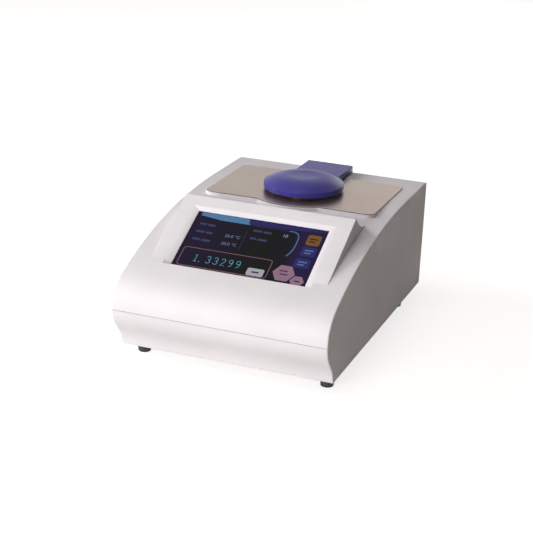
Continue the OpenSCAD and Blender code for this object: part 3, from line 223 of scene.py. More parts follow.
def softened(node, name, slot, body, width, rule, segments=2, cuts=(), move=None):
    """Copy of a CAD node whose edges are rounded: width in millimetres times the rule's weight.
    Upright cuts across the depth let one long edge have several weights. move gives the copy's
    points new housing places first."""
    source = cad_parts[node].data.copy()
    if move:
        source.vertices.foreach_set("co", from_housing(move(point_places(source))).ravel())
    skin = bmesh.new()
    skin.from_mesh(source)
    bpy.data.meshes.remove(source)
    bmesh.ops.remove_doubles(skin, verts=skin.verts, dist=2 * POINTS_MEET)
    bmesh.ops.dissolve_limit(skin, angle_limit=SAME_PLANE, verts=skin.verts, edges=skin.edges)
    for s in cuts:
        everything = [*skin.verts, *skin.edges, *skin.faces]
        on_cut = from_housing((0, s, 0)).tolist()
        bmesh.ops.bisect_plane(skin, geom=everything, plane_co=on_cut, plane_no=(0, 1, 0))
    mesh = bpy.data.meshes.new(name)
    skin.to_mesh(mesh)
    turn = np.degrees([edge.calc_face_angle_signed(0.0) for edge in skin.edges])
    skin.free()
    old_normals = mesh.attributes.get("custom_normal")
    if old_normals:
        mesh.attributes.remove(old_normals)
    pairs = np.empty(len(mesh.edges) * 2, int)
    mesh.edges.foreach_get("vertices", pairs)
    ends = point_places(mesh)[pairs.reshape(-1, 2)]
    weights = mesh.attributes.new("bevel_weight_edge", "FLOAT", "EDGE")
    weights.data.foreach_set("value", rule(ends, turn).astype(np.float32))
    piece = show(name, mesh, finishes[slot], body, [node], COPY_SMOOTH)
    rounding = piece.modifiers.new("rounded edges", "BEVEL")
    rounding.limit_method = "WEIGHT"
    rounding.width = width * MM
    rounding.segments = segments
    rounding.use_clamp_overlap = False
    evening = piece.modifiers.new("even normals", "WEIGHTED_NORMAL")
    evening.keep_sharp = True
    return piece


# %% Tests that the rules for edges share
ON_PLANE = 0.01


def both(ends, test):
    """True for edges whose two ends both pass a test on their places."""
    return test(ends[:, 0]) & test(ends[:, 1])


def lies_on(ends, axis, distance):
    """True for edges that lie on the plane at a distance along an axis, or on its mirror image."""
    return both(ends, lambda p: np.abs(np.abs(p[:, axis]) - distance) < ON_PLANE)


def sharp(ends, turn, angle, length):
    """True for outer edges that turn by more than an angle and are longer than a length. The
    edges of round holes are shorter."""
    return (turn > angle) & (np.linalg.norm(ends[:, 0] - ends[:, 1], axis=1) > length)


def every_edge(ends, turn):
    """Full rounding on every outer edge that isn't part of a round hole."""
    return np.where(sharp(ends, turn, 35, 0.7), 1.0, 0.0)


# %% [markdown]
# ## Colours and shared surface effects
# Real surfaces are never one flat colour. Moulded plastic has a fine grain and faint patches, metal
# has brushed lines, edges rub bright, and dust settles on top. Each such effect is one node group
# with named inputs, built once and used by many finishes. All of them read Object coordinates, so a
# pattern keeps its real size in metres and stays put when a piece moves.


# %% Node helpers
WHITE = (1, 1, 1, 1)


def linear(red, green, blue):
    """A screen colour from 0 to 255 as the linear colour that the shaders use."""
    share = np.array([red, green, blue]) / 255
    low, high = share / 12.92, ((share + 0.055) / 1.055) ** 2.4
    return (*np.where(share <= 0.04045, low, high).tolist(), 1.0)


def add(tree, kind, inputs=None, **settings):
    """Adds a shader node. Inputs may be values, or sockets to link from."""
    made = tree.nodes.new("ShaderNode" + kind)
    for name, value in settings.items():
        setattr(made, name, value)
    for name, value in (inputs or {}).items():
        if isinstance(value, bpy.types.NodeSocket):
            tree.links.new(value, made.inputs[name])
        else:
            made.inputs[name].default_value = value
    return made


def mixed(tree, factor, first, second):
    """The colour between two colours."""
    return add(tree, "Mix", {0: factor, 6: first, 7: second}, data_type="RGBA").outputs[2]


def sums(tree, work, first, second):
    """One step of arithmetic."""
    return add(tree, "Math", {0: first, 1: second}, operation=work).outputs[0]


def spread_to(tree, value, low, high, new_low, new_high):
    """Maps a value from one range to another, held inside the new one."""
    inputs = {0: value, 1: low, 2: high, 3: new_low, 4: new_high}
    return add(tree, "MapRange", inputs).outputs[0]


def new_group(name, wanted, given):
    """An empty node group with named inputs and outputs."""
    tree = bpy.data.node_groups.new(name, "ShaderNodeTree")
    for label, value in wanted.items():
        socket = tree.interface.new_socket(label, in_out="INPUT", socket_type="NodeSocketFloat")
        socket.default_value = value
    for label in given:
        tree.interface.new_socket(label, in_out="OUTPUT", socket_type="NodeSocketFloat")
    return tree, tree.nodes.new("NodeGroupInput").outputs, tree.nodes.new("NodeGroupOutput").inputs


def use(tree, group, inputs):
    """Places a node group in a material with its own values."""
    made = tree.nodes.new("ShaderNodeGroup")
    made.node_tree = group
    for name, value in inputs.items():
        made.inputs[name].default_value = value
    return made.outputs


def new_material(name):
    """A material with nodes, its node tree and its surface shader."""
    made = bpy.data.materials.new(name)
    made.use_nodes = True
    return made, made.node_tree, made.node_tree.nodes["Principled BSDF"]


def seen_rays(tree):
    """One for rays that end in the eye, straight, mirrored or through glass, and nought for the
    rest, which only carry light to the object."""
    path = add(tree, "LightPath").outputs
    bent = sums(tree, "MAXIMUM", path["Is Glossy Ray"], path["Is Transmission Ray"])
    return sums(tree, "MAXIMUM", path["Is Camera Ray"], bent)


# %% Fine grain and faint patches
grain, wants, gives = new_group("fine grain", {"Grain": 0.0006, "Patch": 0.03}, ["Height", "Patches"])
where = add(grain, "TexCoord").outputs["Object"]
fine = sums(grain, "DIVIDE", 1.0, wants["Grain"])
broad = sums(grain, "DIVIDE", 1.0, wants["Patch"])
speck = add(grain, "TexNoise", {"Vector": where, "Scale": fine, "Detail": 2.0, "Roughness": 0.6})
cloud = add(grain, "TexNoise", {"Vector": where, "Scale": broad, "Detail": 3.0, "Roughness": 0.5})
grain.links.new(speck.outputs[0], gives["Height"])
grain.links.new(spread_to(grain, cloud.outputs[0], 0.3, 0.7, 0.0, 1.0), gives["Patches"])

# %% Brushed lines along one direction
brushed, wants, gives = new_group("brushed lines", {"Line": 0.0004, "Length": 60.0}, ["Height", "Lines"])
where = add(brushed, "TexCoord").outputs["Object"]
along = add(brushed, "CombineXYZ", {0: sums(brushed, "DIVIDE", 1.0, wants["Length"]), 1: 1.0, 2: 1.0})
drawn = add(brushed, "VectorMath", {0: where, 1: along.outputs[0]}, operation="MULTIPLY").outputs[0]
fine = sums(brushed, "DIVIDE", 1.0, wants["Line"])
streak = add(brushed, "TexNoise", {"Vector": drawn, "Scale": fine, "Detail": 4.0, "Roughness": 0.7})
brushed.links.new(streak.outputs[0], gives["Height"])
brushed.links.new(spread_to(brushed, streak.outputs[0], 0.35, 0.65, 0.0, 1.0), gives["Lines"])

# %% Rubbed edges
rubbed, wants, gives = new_group("rubbed edges", {"Radius": 0.0006, "Break": 0.004}, ["Mask"])
true_way = add(rubbed, "NewGeometry").outputs["Normal"]
round_way = add(rubbed, "Bevel", {"Radius": wants["Radius"]}, samples=4).outputs[0]
agree = add(rubbed, "VectorMath", {0: true_way, 1: round_way}, operation="DOT_PRODUCT").outputs["Value"]
edge = spread_to(rubbed, agree, 0.97, 0.80, 0.0, 1.0)
where = add(rubbed, "TexCoord").outputs["Object"]
uneven = add(rubbed, "TexNoise", {"Vector": where, "Scale": sums(rubbed, "DIVIDE", 1.0, wants["Break"])})
patchy = spread_to(rubbed, uneven.outputs[0], 0.42, 0.60, 0.0, 1.0)
rubbed.links.new(sums(rubbed, "MULTIPLY", edge, patchy), gives["Mask"])

# %% Settled dust
dusty, wants, gives = new_group("settled dust", {"Amount": 0.1}, ["Mask"])
facing = add(dusty, "SeparateXYZ", {0: add(dusty, "NewGeometry").outputs["Normal"]}).outputs[2]
lying = spread_to(dusty, facing, 0.3, 0.95, 0.0, 1.0)
where = add(dusty, "TexCoord").outputs["Object"]
film = add(dusty, "TexNoise", {"Vector": where, "Scale": 35.0, "Detail": 5.0, "Roughness": 0.7})
dusty.links.new(
    sums(dusty, "MULTIPLY", sums(dusty, "MULTIPLY", lying, wants["Amount"]), film.outputs[0]),
    gives["Mask"],
)


# %% [markdown]
# ## One recipe for most finishes
# A finish is a pair of near tones, a gloss, a grain and, if it needs them, brushed lines, rubbed
# edges or dust. Numbers that are the same all over sit on the shader's own sockets. Only what
# changes over the surface is linked.


# %% The recipe
DUST_TONE = linear(196, 190, 182)


def finish(name, tone, deep, rough, rough_spread=0.06, metal=0.0, size=0.0006, patch=0.03, bump=0.1,
           lines=None, rub=None, rub_radius=0.0005, dust=0.0, gloss=0.5):
    """A procedural finish. tone and deep are its lighter and darker colour, rough and rough_spread
    its roughness and how far that varies. size, patch and lines are the sizes of its grain, patches
    and brushed lines in metres, rub is the colour of rubbed edges and gloss the strength of its
    mirror image."""
    made, tree, shader = new_material(name)
    effect = use(tree, grain, {"Grain": size, "Patch": patch})
    height, share = effect["Height"], effect["Patches"]
    if lines:
        drawn = use(tree, brushed, {"Line": lines, "Length": 60.0})
        height = drawn["Height"]
        share = sums(tree, "MULTIPLY", sums(tree, "ADD", share, drawn["Lines"]), 0.5)
    colour = mixed(tree, share, deep, tone)
    gloss_map = spread_to(tree, share, 0.0, 1.0, rough + rough_spread, rough - rough_spread)
    if rub:
        mask = use(tree, rubbed, {"Radius": rub_radius, "Break": 0.004})["Mask"]
        colour = mixed(tree, mask, colour, rub)
    if dust:
        film_mask = use(tree, dusty, {"Amount": dust})["Mask"]
        colour = mixed(tree, film_mask, colour, DUST_TONE)
    tree.links.new(colour, shader.inputs["Base Color"])
    tree.links.new(gloss_map, shader.inputs["Roughness"])
    relief = add(tree, "Bump", {"Height": height, "Strength": bump, "Distance": 0.0002})
    tree.links.new(relief.outputs[0], shader.inputs["Normal"])
    shader.inputs["Metallic"].default_value = metal
    shader.inputs["Specular IOR Level"].default_value = gloss
    return made


# %% [markdown]
# ## The finishes
# The case is white moulded plastic with a cool cast and a fine spark-eroded grain. The lid is
# smooth blue plastic. The stage plate and dish are stainless sheet with fine brushed lines, a little
# warm. Everything else is what such instruments are built from: zinc-plated steel, drawn alloy,
# copper, black glass-filled plastic, rubber, ceramic and circuit boards.

# %% Finishes by material slot
finishes = {
    "case_white": finish("case_white", (0.83, 0.80, 0.83, 1), (0.79, 0.76, 0.79, 1), 0.50, 0.05,
                         size=0.0005, patch=0.05, bump=0.12, gloss=0.10, dust=0.05),
    "lid_blue": finish("lid_blue", (0.055, 0.048, 0.290, 1), (0.046, 0.040, 0.250, 1), 0.33, 0.04,
                       size=0.0004, patch=0.02, bump=0.06, gloss=0.14,
                       rub=(0.085, 0.085, 0.34, 1), dust=0.02),
    "liner_white": finish("liner_white", (0.78, 0.78, 0.76, 1), (0.70, 0.70, 0.68, 1), 0.35,
                          size=0.0003, patch=0.01, bump=0.05),
    "stainless": finish("stainless", (0.365, 0.288, 0.249, 1), (0.325, 0.254, 0.219, 1), 0.31, 0.04,
                        metal=1.0, lines=0.0003, patch=0.05, bump=0.03),
    "zinc_steel": finish("zinc_steel", (0.66, 0.66, 0.68, 1), (0.52, 0.52, 0.55, 1), 0.34, 0.08,
                         metal=1.0, size=0.0004, patch=0.006, bump=0.10,
                         rub=(0.85, 0.85, 0.86, 1), rub_radius=0.0003),
    "alloy": finish("alloy", (0.72, 0.73, 0.75, 1), (0.60, 0.61, 0.63, 1), 0.38, 0.08,
                    metal=1.0, lines=0.0006, bump=0.12),
    "copper": finish("copper", (0.80, 0.42, 0.26, 1), (0.55, 0.26, 0.15, 1), 0.32, 0.10,
                     metal=1.0, lines=0.0005, patch=0.012, bump=0.12),
    "brass_plated": finish("brass_plated", (0.78, 0.62, 0.33, 1), (0.60, 0.46, 0.22, 1), 0.30,
                           metal=1.0, size=0.0004, patch=0.004, bump=0.08),
    "rubber_black": finish("rubber_black", (0.030, 0.030, 0.032, 1), (0.018, 0.018, 0.020, 1), 0.62,
                           0.10, size=0.0007, patch=0.006, bump=0.30, dust=0.25,
                           rub=(0.09, 0.09, 0.09, 1)),
    "black_plastic": finish("black_plastic", (0.030, 0.030, 0.033, 1), (0.020, 0.020, 0.022, 1),
                            0.42, 0.08, size=0.0004, patch=0.01, bump=0.14, dust=0.05,
                            rub=(0.10, 0.10, 0.105, 1), rub_radius=0.0003),
    "white_ceramic": finish("white_ceramic", (0.86, 0.85, 0.82, 1), (0.76, 0.75, 0.72, 1), 0.40,
                            size=0.0005, patch=0.005, bump=0.12),
    "ribbon_grey": finish("ribbon_grey", (0.52, 0.52, 0.53, 1), (0.40, 0.40, 0.42, 1), 0.46,
                          lines=0.0010, bump=0.25),
    "wire_brown": finish("wire_brown", (0.16, 0.070, 0.035, 1), (0.11, 0.045, 0.022, 1), 0.45,
                         size=0.0008, patch=0.01, bump=0.15),
    "wire_grey": finish("wire_grey", (0.33, 0.33, 0.34, 1), (0.24, 0.24, 0.25, 1), 0.45,
                        size=0.0008, patch=0.01, bump=0.15),
}
print("finishes:", ", ".join(finishes))

# %% [markdown]
# ## Circuit boards
# A board is green lacquer over copper tracks. The tracks run square to the edges, so a grid of
# narrow bricks with a slight height gives them: lighter where copper lies under the lacquer. The
# supply's board is the cheaper tan kind.


# %% Board finishes
def board_finish(name, lacquer, track):
    """Lacquered board: bricks in Object coordinates stand for the tracks."""
    made, tree, shader = new_material(name)
    where = add(tree, "TexCoord").outputs["Object"]
    rows = add(tree, "TexBrick", {"Vector": where, "Scale": 90.0, "Mortar Size": 0.08,
                                  "Color1": lacquer, "Color2": lacquer, "Mortar": track,
                                  "Brick Width": 0.9, "Row Height": 0.22})
    patches = use(tree, grain, {"Grain": 0.0005, "Patch": 0.01})
    colour = mixed(tree, patches["Patches"], rows.outputs["Color"], lacquer)
    tree.links.new(colour, shader.inputs["Base Color"])
    tree.links.new(spread_to(tree, patches["Patches"], 0.0, 1.0, 0.28, 0.40), shader.inputs["Roughness"])
    relief = add(tree, "Bump", {"Height": rows.outputs["Fac"], "Strength": 0.3, "Distance": 0.0001})
    tree.links.new(relief.outputs[0], shader.inputs["Normal"])
    return made


finishes["circuit_board"] = board_finish("circuit_board", (0.012, 0.090, 0.040, 1), (0.06, 0.22, 0.10, 1))
finishes["supply_board"] = board_finish("supply_board", (0.34, 0.20, 0.09, 1), (0.50, 0.34, 0.18, 1))

# %% [markdown]
# ## Glass
# The prism and the lenses are optical glass: clear, dense and hard polished, with the faintest
# smears in the gloss. Transmission and index are plain values, because they are the same all over.


# %% Glass finish
def glass_finish(name, index, tint):
    """Polished glass whose gloss varies a little with wiping marks."""
    made, tree, shader = new_material(name)
    smears = use(tree, grain, {"Grain": 0.002, "Patch": 0.008})
    tree.links.new(spread_to(tree, smears["Patches"], 0.0, 1.0, 0.01, 0.05), shader.inputs["Roughness"])
    tree.links.new(mixed(tree, smears["Patches"], tint, WHITE), shader.inputs["Base Color"])
    shader.inputs["Transmission Weight"].default_value = 1.0
    shader.inputs["IOR"].default_value = index
    return made


finishes["optic_glass"] = glass_finish("optic_glass", 1.72, (0.90, 0.95, 0.97, 1))

# %% [markdown]
# ## The screen's finishes
# The screen is a lit panel behind dark glass. Each colour of the picture is a thin glowing layer
# with the glass's gloss on it. A panel of this size has a pixel every fifth of a millimetre, so a
# pair of crossed waves dims the glow between the pixels.

# %% Pixel pattern
PIXEL = 0.000193
pixels, wants, gives = new_group("pixel rows", {"Depth": 0.25}, ["Glow"])
axes = add(pixels, "SeparateXYZ", {0: add(pixels, "TexCoord").outputs["Object"]}).outputs
beat = 2 * math.pi / PIXEL
cross = add(pixels, "Math", {0: sums(pixels, "MULTIPLY", axes[0], beat)}, operation="COSINE").outputs[0]
down = add(pixels, "Math", {0: sums(pixels, "MULTIPLY", axes[2], beat)}, operation="COSINE").outputs[0]
dark = sums(pixels, "MULTIPLY", sums(pixels, "ADD", cross, down), wants["Depth"])
pixels.links.new(sums(pixels, "ADD", 0.85, sums(pixels, "MULTIPLY", dark, 0.5)), gives["Glow"])


def lit(name, colour, ramp=None):
    """A glowing layer of one colour, or of colours across the width at shares from 0 to 1."""
    made, tree, shader = new_material(name)
    glow = use(tree, pixels, {"Depth": 0.25})["Glow"]
    shade = colour
    if ramp:
        across = add(tree, "SeparateXYZ", {0: add(tree, "TexCoord").outputs["Object"]}).outputs[0]
        half = SCREEN_W / 2 * MM
        bands = add(tree, "ValToRGB", {0: spread_to(tree, across, -half, half, 0.0, 1.0)})
        stops = bands.color_ramp.elements
        for place, value in ramp[2:]:
            stops.new(place).color = value
        stops[0].position, stops[0].color = ramp[0]
        stops[-1].position, stops[-1].color = ramp[1]
        shade = bands.outputs[0]
    tree.links.new(mixed(tree, glow, (0, 0, 0, 1), shade), shader.inputs["Emission Color"])
    shader.inputs["Emission Strength"].default_value = 1.0
    shader.inputs["Base Color"].default_value = (0.004, 0.004, 0.005, 1)
    shader.inputs["Specular IOR Level"].default_value = 0.04
    smears = use(tree, grain, {"Grain": 0.003, "Patch": 0.025})["Patches"]
    tree.links.new(spread_to(tree, smears, 0.0, 1.0, 0.06, 0.10), shader.inputs["Roughness"])
    return made


# The first two colours are the ramp's ends
finishes["screen_glass"] = lit("screen_glass", None, [
    (0.0, linear(34, 22, 50)), (1.0, linear(36, 22, 60)), (0.30, linear(26, 20, 36)),
    (0.52, linear(20, 22, 18)), (0.76, linear(22, 20, 24)), (0.84, linear(38, 24, 64)),
])

# %% Give the drawn nodes their finishes
for drawn_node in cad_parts.values():
    for holder in drawn_node.material_slots:
        holder.material = finishes[holder.material.name.split(".")[0]]

# %% [markdown]
# ## The case
# Two mouldings meet at the parting line. The upper one carries the console and the raised bed of
# the stage plate. The long side edges have the largest radius, 1.6 millimetres, and the ridge nearly
# as much. The console's outline is crisper, and the screen's recess stays sharp. The rules below
# name those edges by their places. Round holes are left alone, because a radius would swallow them.
# A grey strip set back in the front groove is painted shade: it darkens the groove into the thin shadow
# line that parts the two mouldings.


# %% Rules for the case's edges
CASE_ROUND = 1.6
CONSOLE_CUTS = (55, 58, 62, 67, 74)
FADE_FROM, FADE_OVER = 55, 20
GROOVE = 0.75


def cover_edges(ends, turn):
    """Weights for the upper housing, the first rule that holds: next to none at the parting line,
    most on the ridge and sides, less on the console, the back rim and the bed. The console's edge
    fades out forwards, where its side wall runs down to nothing."""
    side = lies_on(ends, 0, BODY_W / 2)
    parting = lies_on(ends, 2, SPLIT_H)
    ridge = both(ends, lambda p: np.hypot(p[:, 1] - RIDGE_S, p[:, 2] - RIDGE_H) < 0.3)
    growing = np.clip((ends[:, :, 1].mean(axis=1) - FADE_FROM) / FADE_OVER, 0, 1)
    rules = [
        (parting & side, 0.0),
        (parting, 0.08),
        (ridge, 0.8),
        (lies_on(ends, 0, CONSOLE_W / 2), 0.45 * growing),
        (side, 1.0),
        (lies_on(ends, 1, BODY_D), 0.4),
        (lies_on(ends, 2, BODY_H), 0.5),
    ]
    return np.where(sharp(ends, turn, 24, 0.6), np.select(*zip(*rules), 0.0), 0.0)


def tray_edges(ends, turn):
    """Weights for the lower housing: full on the sides' outline, next to none at the groove."""
    side = lies_on(ends, 0, BODY_W / 2)
    groove = both(ends, lambda p: p[:, 2] > SPLIT_H - GROOVE)
    weights = np.select([groove & side, groove, side], [0.0, 0.08, 1.0], 0.0)
    return np.where(sharp(ends, turn, 24, 0.6), weights, 0.0)


def flush_sides(places):
    """The shadow groove runs across the front only. On the two sides its inner corners move out
    to the side's own plane, so there the mouldings meet in a hairline."""
    x, h = places[:, 0], places[:, 2]
    in_groove = (np.abs(x) > BODY_W / 2 - GROOVE) & (h > SPLIT_H - GROOVE)
    return np.column_stack([np.where(in_groove, np.sign(x) * BODY_W / 2, x), places[:, 1:]])


# %% Case pieces
softened("upper_housing", "case_cover", "case_white", "housing", CASE_ROUND, cover_edges, 4,
         cuts=CONSOLE_CUTS)
softened("lower_housing", "case_tray", "case_white", "housing", CASE_ROUND, tray_edges, 4,
         move=flush_sides)
softened("rear_panel", "back_panel", "case_white", "housing", 0.3, every_edge)

# %% Painted shade strip in the seam, as a section in s and h carried across the front
SEAM_HALF = BODY_W / 2 - 0.8
seam_low, seam_high = SPLIT_H - 0.66, SPLIT_H - 0.04
seam_shade_section = [(0.3, seam_low), (0.66, seam_low), (0.66, seam_high), (0.3, seam_high)]
seam = np.array([[(x, s, h) for s, h in seam_shade_section] for x in (-SEAM_HALF, SEAM_HALF)])
# painted shade: a grey sheet in the groove, where the real seam has only shadow
show_sheets("seam_shade_strip", [(seam, False, True, True)], "wire_grey")

# %% [markdown]
# ## The stage plate
# A stainless sheet lies on the raised bed. Its plan is a rounded rectangle joined to a disc round
# the dish, so the front edge swells forward. Seen from the dish's middle, each direction meets the
# edge once. The edge's distance is then the larger of the rectangle's and the disc's, and the whole
# sheet becomes one ring of rows from the dish's hole to the edge. The cut edge is crisp. A dark strip
# under it, standing out a tenth of a millimetre, is painted shade for the thin shadow line round the plate.

# %% Plan of the plate
PLATE_W, PLATE_FRONT, PLATE_BACK, PLATE_R, LOBE_R = 210.0, 204.6, 331.6, 9.0, 68.5
PLATE_T, DISH_R = 1.2, 36.0
angles = np.linspace(0, 2 * np.pi, 720, endpoint=False)


def plate_reach(inset):
    """Distance from the dish's middle to the plate's edge less inset, for every angle.
    A point's distance outside the rounded rectangle is that of its offset beyond the inner
    rectangle, less the corner radius. Halving the interval finds where it is nought."""
    middle = (PLATE_FRONT + PLATE_BACK) / 2
    half = np.array([PLATE_W / 2, (PLATE_BACK - PLATE_FRONT) / 2]) - PLATE_R
    low, high = np.zeros_like(angles), np.full_like(angles, 200.0)
    for _ in range(40):
        reach = (low + high) / 2
        x, s = reach * np.sin(angles), STAGE_S - reach * np.cos(angles) - middle
        beyond = np.maximum(np.abs(np.stack([x, s])) - half[:, None], 0)
        outside = np.hypot(*beyond) > PLATE_R - inset
        low, high = np.where(outside, low, reach), np.where(outside, reach, high)
    return np.maximum(low, LOBE_R - inset)


def plate_row(reach, h):
    """One row of the plate: places at a reach for every angle, at one height."""
    x, s = reach * np.sin(angles), STAGE_S - reach * np.cos(angles)
    return np.stack([x, s, np.full_like(x, h)], axis=-1)


# %% Stage plate
EDGE_ROUND, HOLE_ROUND = 0.2, 0.4
UNDER_IN, UNDER_LOW, UNDER_HIGH = 0.9, BODY_H + 0.02, BODY_H + 0.68
STUD_R, STUD_LOW, STUD_TOP = 1.5, 123.5, BODY_H + 0.5
STUD_X, STUD_S = (-92, 92), (217, 319)
quarter = arc((0, 0), 1, 0, 90, 5)
hole = np.full_like(angles, DISH_R + 0.4)
top_h = BODY_H + PLATE_T
outer_rows = [
    plate_row(plate_reach(EDGE_ROUND * (1 - a)), top_h - EDGE_ROUND * (1 - b)) for a, b in quarter
]
inner_rows = [
    plate_row(hole + HOLE_ROUND * (1 - a), top_h - HOLE_ROUND * (1 - b)) for a, b in quarter[::-1]
]
flat_edge, flat_hole = plate_reach(EDGE_ROUND), hole + HOLE_ROUND
flat_rows = [plate_row((1 - t) * flat_edge + t * flat_hole, top_h) for t in np.linspace(0.02, 0.98, 12)]
under = [
    plate_row(hole, UNDER_LOW),
    plate_row(plate_reach(UNDER_IN), UNDER_LOW),
    plate_row(plate_reach(UNDER_IN), UNDER_HIGH),
    plate_row(plate_reach(0), UNDER_HIGH),
]
plate = np.stack(outer_rows + flat_rows + inner_rows + under)
stud_section = [(0, STUD_LOW), (STUD_R, STUD_LOW), (STUD_R, STUD_TOP), (0, STUD_TOP)]
studs = [(turned(stud_section, x, s, 24), False, True, False) for x in STUD_X for s in STUD_S]
show_sheets("stage_sheet", [(plate, True, True, False), *studs], "stainless",
            instead_of=["top_plate"])

# %% Painted shade strip, as insets and heights over the bed carried round the plate
shade_strip_section = [(0.8, 0.02), (-0.1, 0.02), (-0.1, 0.64), (0.8, 0.64)]
strip = np.stack([plate_row(plate_reach(inset), BODY_H + h) for inset, h in shade_strip_section])
# painted shade: a dark rubber sheet where there is only the plate's shadow line
show_sheets("plate_shade_strip", [(strip, True, True, False)], "rubber_black")

# %% [markdown]
# ## The sample dish
# The dish is turned from stainless bar: a raised rim, a shallow bowl falling to the prism, and a
# flange below that is screwed to the stage. A turned part is a half section carried round an axis,
# so its section is listed once, with a small radius wherever the tool leaves one.

# %% Sample dish
FLANGE_R, FLANGE_TOP, FLANGE_T = 46.0, 129.2, 3.2
RIM_ROUND, SEAL_R = 0.7, 9.5
BORE_R = 8.0 + 0.15
flange_low = FLANGE_TOP - FLANGE_T
rim_top = BODY_H + 3.5
prism_top = rim_top - 4.6
bowl = bend([(33, rim_top), (31.6, rim_top - 1.9), (22, prism_top + 0.9), (13.5, prism_top + 0.6)], 14)
section = np.concatenate([
    [(BORE_R, flange_low), (FLANGE_R, flange_low), (FLANGE_R, FLANGE_TOP), (DISH_R, FLANGE_TOP)],
    arc((DISH_R - RIM_ROUND, rim_top - RIM_ROUND), RIM_ROUND, 0, 90, 6),
    bowl,
    [(SEAL_R + 0.4, prism_top + 0.25), (SEAL_R, prism_top + 0.1)],
    [(SEAL_R, prism_top - 2), (BORE_R, prism_top - 2)],
])
show_sheets("dish", [(turned(section, steps=160), True, True, False)], "stainless",
            instead_of=["sample_dish"], smooth=40)

# %% [markdown]
# ## The lid
# The cap is a moulded shell: an upright rim, a rounded shoulder, a low dome and a slightly hollow
# middle where a fingertip presses. Outside and inside are two runs of one section, and turning the
# closed section gives wall, rim and dome in one skin.

# %% Lid cap
LID_R, LID_H, LID_WALL, CAP_LOW = 48.4, 14.9, 2.5, 137.1
SHOULDER_R, LIP_R = 1.0, 0.5
HOLLOW_R, HOLLOW = 21, 0.7
cap_top = CAP_LOW + LID_H


def cap_run(gap):
    """Half section of the cap's outside set in by gap, from the rim to the middle.
    Rim, arc of the shoulder, a smooth bend to the dome, then the hollow, whose depth at a radius r
    is HOLLOW times (1 - (r / HOLLOW_R) squared) to the power 1.5."""
    shoulder = arc((LID_R - SHOULDER_R, CAP_LOW + 5.8), SHOULDER_R, 0, 62, 9) - [gap, gap * 0.8]
    slope = bend([shoulder[-1], (LID_R - 8 - gap * 0.5, CAP_LOW + 10.6 - gap), (35, cap_top - 1.1 - gap),
                  (24, cap_top - 0.25 - gap)], 16)[1:]
    radius = np.linspace(22, 0, 12)
    crown = cap_top - gap - HOLLOW * np.clip(1 - (radius / HOLLOW_R) ** 2, 0, None) ** 1.5
    foot = [(LID_R - gap, CAP_LOW + LIP_R)]
    return np.concatenate([foot, shoulder, slope, np.column_stack([radius, crown])])


outside, inside = cap_run(0.0), cap_run(LID_WALL)
lip = arc((LID_R - LIP_R, CAP_LOW + LIP_R), LIP_R, -90, 0, 4)[:-1]
cap_section = np.concatenate([lip, outside, inside[::-1], [(LID_R - LID_WALL, CAP_LOW)]])
show_sheets("lid_dome", [(turned(cap_section, steps=180), True, True, False)], "lid_blue", "lid",
            ["lid_cap"], 40)


# %% [markdown]
# ## The lid's arm and what it carries
# The arm is a flat bar with a rounded end and rounded long edges, and it widens into the disc that
# holds the white liner and the rubber ring. The drawn shape has the hinge's slot and the screw
# seats, so it is kept and softened.


# %% Arm, liner, ring
ARM_W, ARM_TOP_FROM = 58.6, 136.5


def arm_edges(ends, turn):
    """Full rounding on the bar's long upper edges and a quarter on every other edge."""
    top = both(ends, lambda p: p[:, 2] > ARM_TOP_FROM)
    weights = np.where(lies_on(ends, 0, ARM_W / 2) & top, 1.0, 0.25)
    return np.where(sharp(ends, turn, 35, 0.3), weights, 0.0)


softened("lid_arm", "lid_bar", "lid_blue", "lid", 0.8, arm_edges, 4)
softened("lid_liner", "liner", "liner_white", "lid", 0.3, every_edge)
softened("lid_seal", "lid_ring", "rubber_black", "lid", 0.4, every_edge, 3)

# %% [markdown]
# ## The feet
# Four moulded rubber feet, slightly tapered, with a rounded tread and a hollow for the screw's
# head. They are turned shapes too. All four share one piece because they share one drawing.

# %% Feet
FOOT_R, FOOT_X, FOOT_S = 8.5, BODY_W / 2 - 15.5, 52.6
HEAD_R, SCREW_R, HEAD_UP, TREAD_ROUND = 4.3, 2.2, 5.0, 1.2
low_r = FOOT_R - 1.2
tread_h = TREAD_ROUND - FOOT_H
foot_section = np.concatenate([
    [(HEAD_R, -FOOT_H)],
    arc((low_r - TREAD_ROUND, tread_h), TREAD_ROUND, -90, 0, 7),
    bend([(low_r, tread_h), (low_r + 0.4, -9), (FOOT_R - 0.2, -5), (FOOT_R, -1)], 8)[1:],
    [(FOOT_R - 0.6, 0), (SCREW_R, 0), (SCREW_R, HEAD_UP - FOOT_H), (HEAD_R, HEAD_UP - FOOT_H)],
])
feet = [
    (turned(foot_section, x, s, 48), True, True, False)
    for x in (-FOOT_X, FOOT_X) for s in (FOOT_S, BODY_D - FOOT_S)
]
show_sheets("foot_pads", feet, "rubber_black", instead_of=["rubber_feet"], smooth=40)

# %% [markdown]
# ## Fittings on the back
# The mains inlet with its fuse drawer, the switch, the serial plug and the USB socket are bought-in
# parts with small moulding radii. They keep their drawn shapes, softened by a few tenths of a
# millimetre.

# %% Back fittings
for node, name, slot, body, width in [
    ("power_inlet", "inlet", "black_plastic", "housing", 0.5),
    ("fuse_drawer", "drawer_front", "black_plastic", "drawer", 0.4),
    ("power_switch", "switch_frame", "black_plastic", "housing", 0.4),
    ("switch_rocker", "rocker_key", "black_plastic", "rocker", 0.3),
    ("serial_port", "serial_shell", "zinc_steel", "housing", 0.2),
    ("usb_port", "usb_shell", "zinc_steel", "housing", 0.12),
    ("case_screws", "back_screws", "zinc_steel", "housing", 0.6),
]:
    softened(node, name, slot, body, width, every_edge)

# %% [markdown]
# ## The screen's picture
# The picture is drawn in the screen's own shares: u from 0 at the left to 1 at the right, v from 0
# at the top to 1 at the bottom. A filled shape is its outline given a hair's thickness, and a line
# is a narrow band carried along a path. Labels are plain bars, and numbers are plain readings.


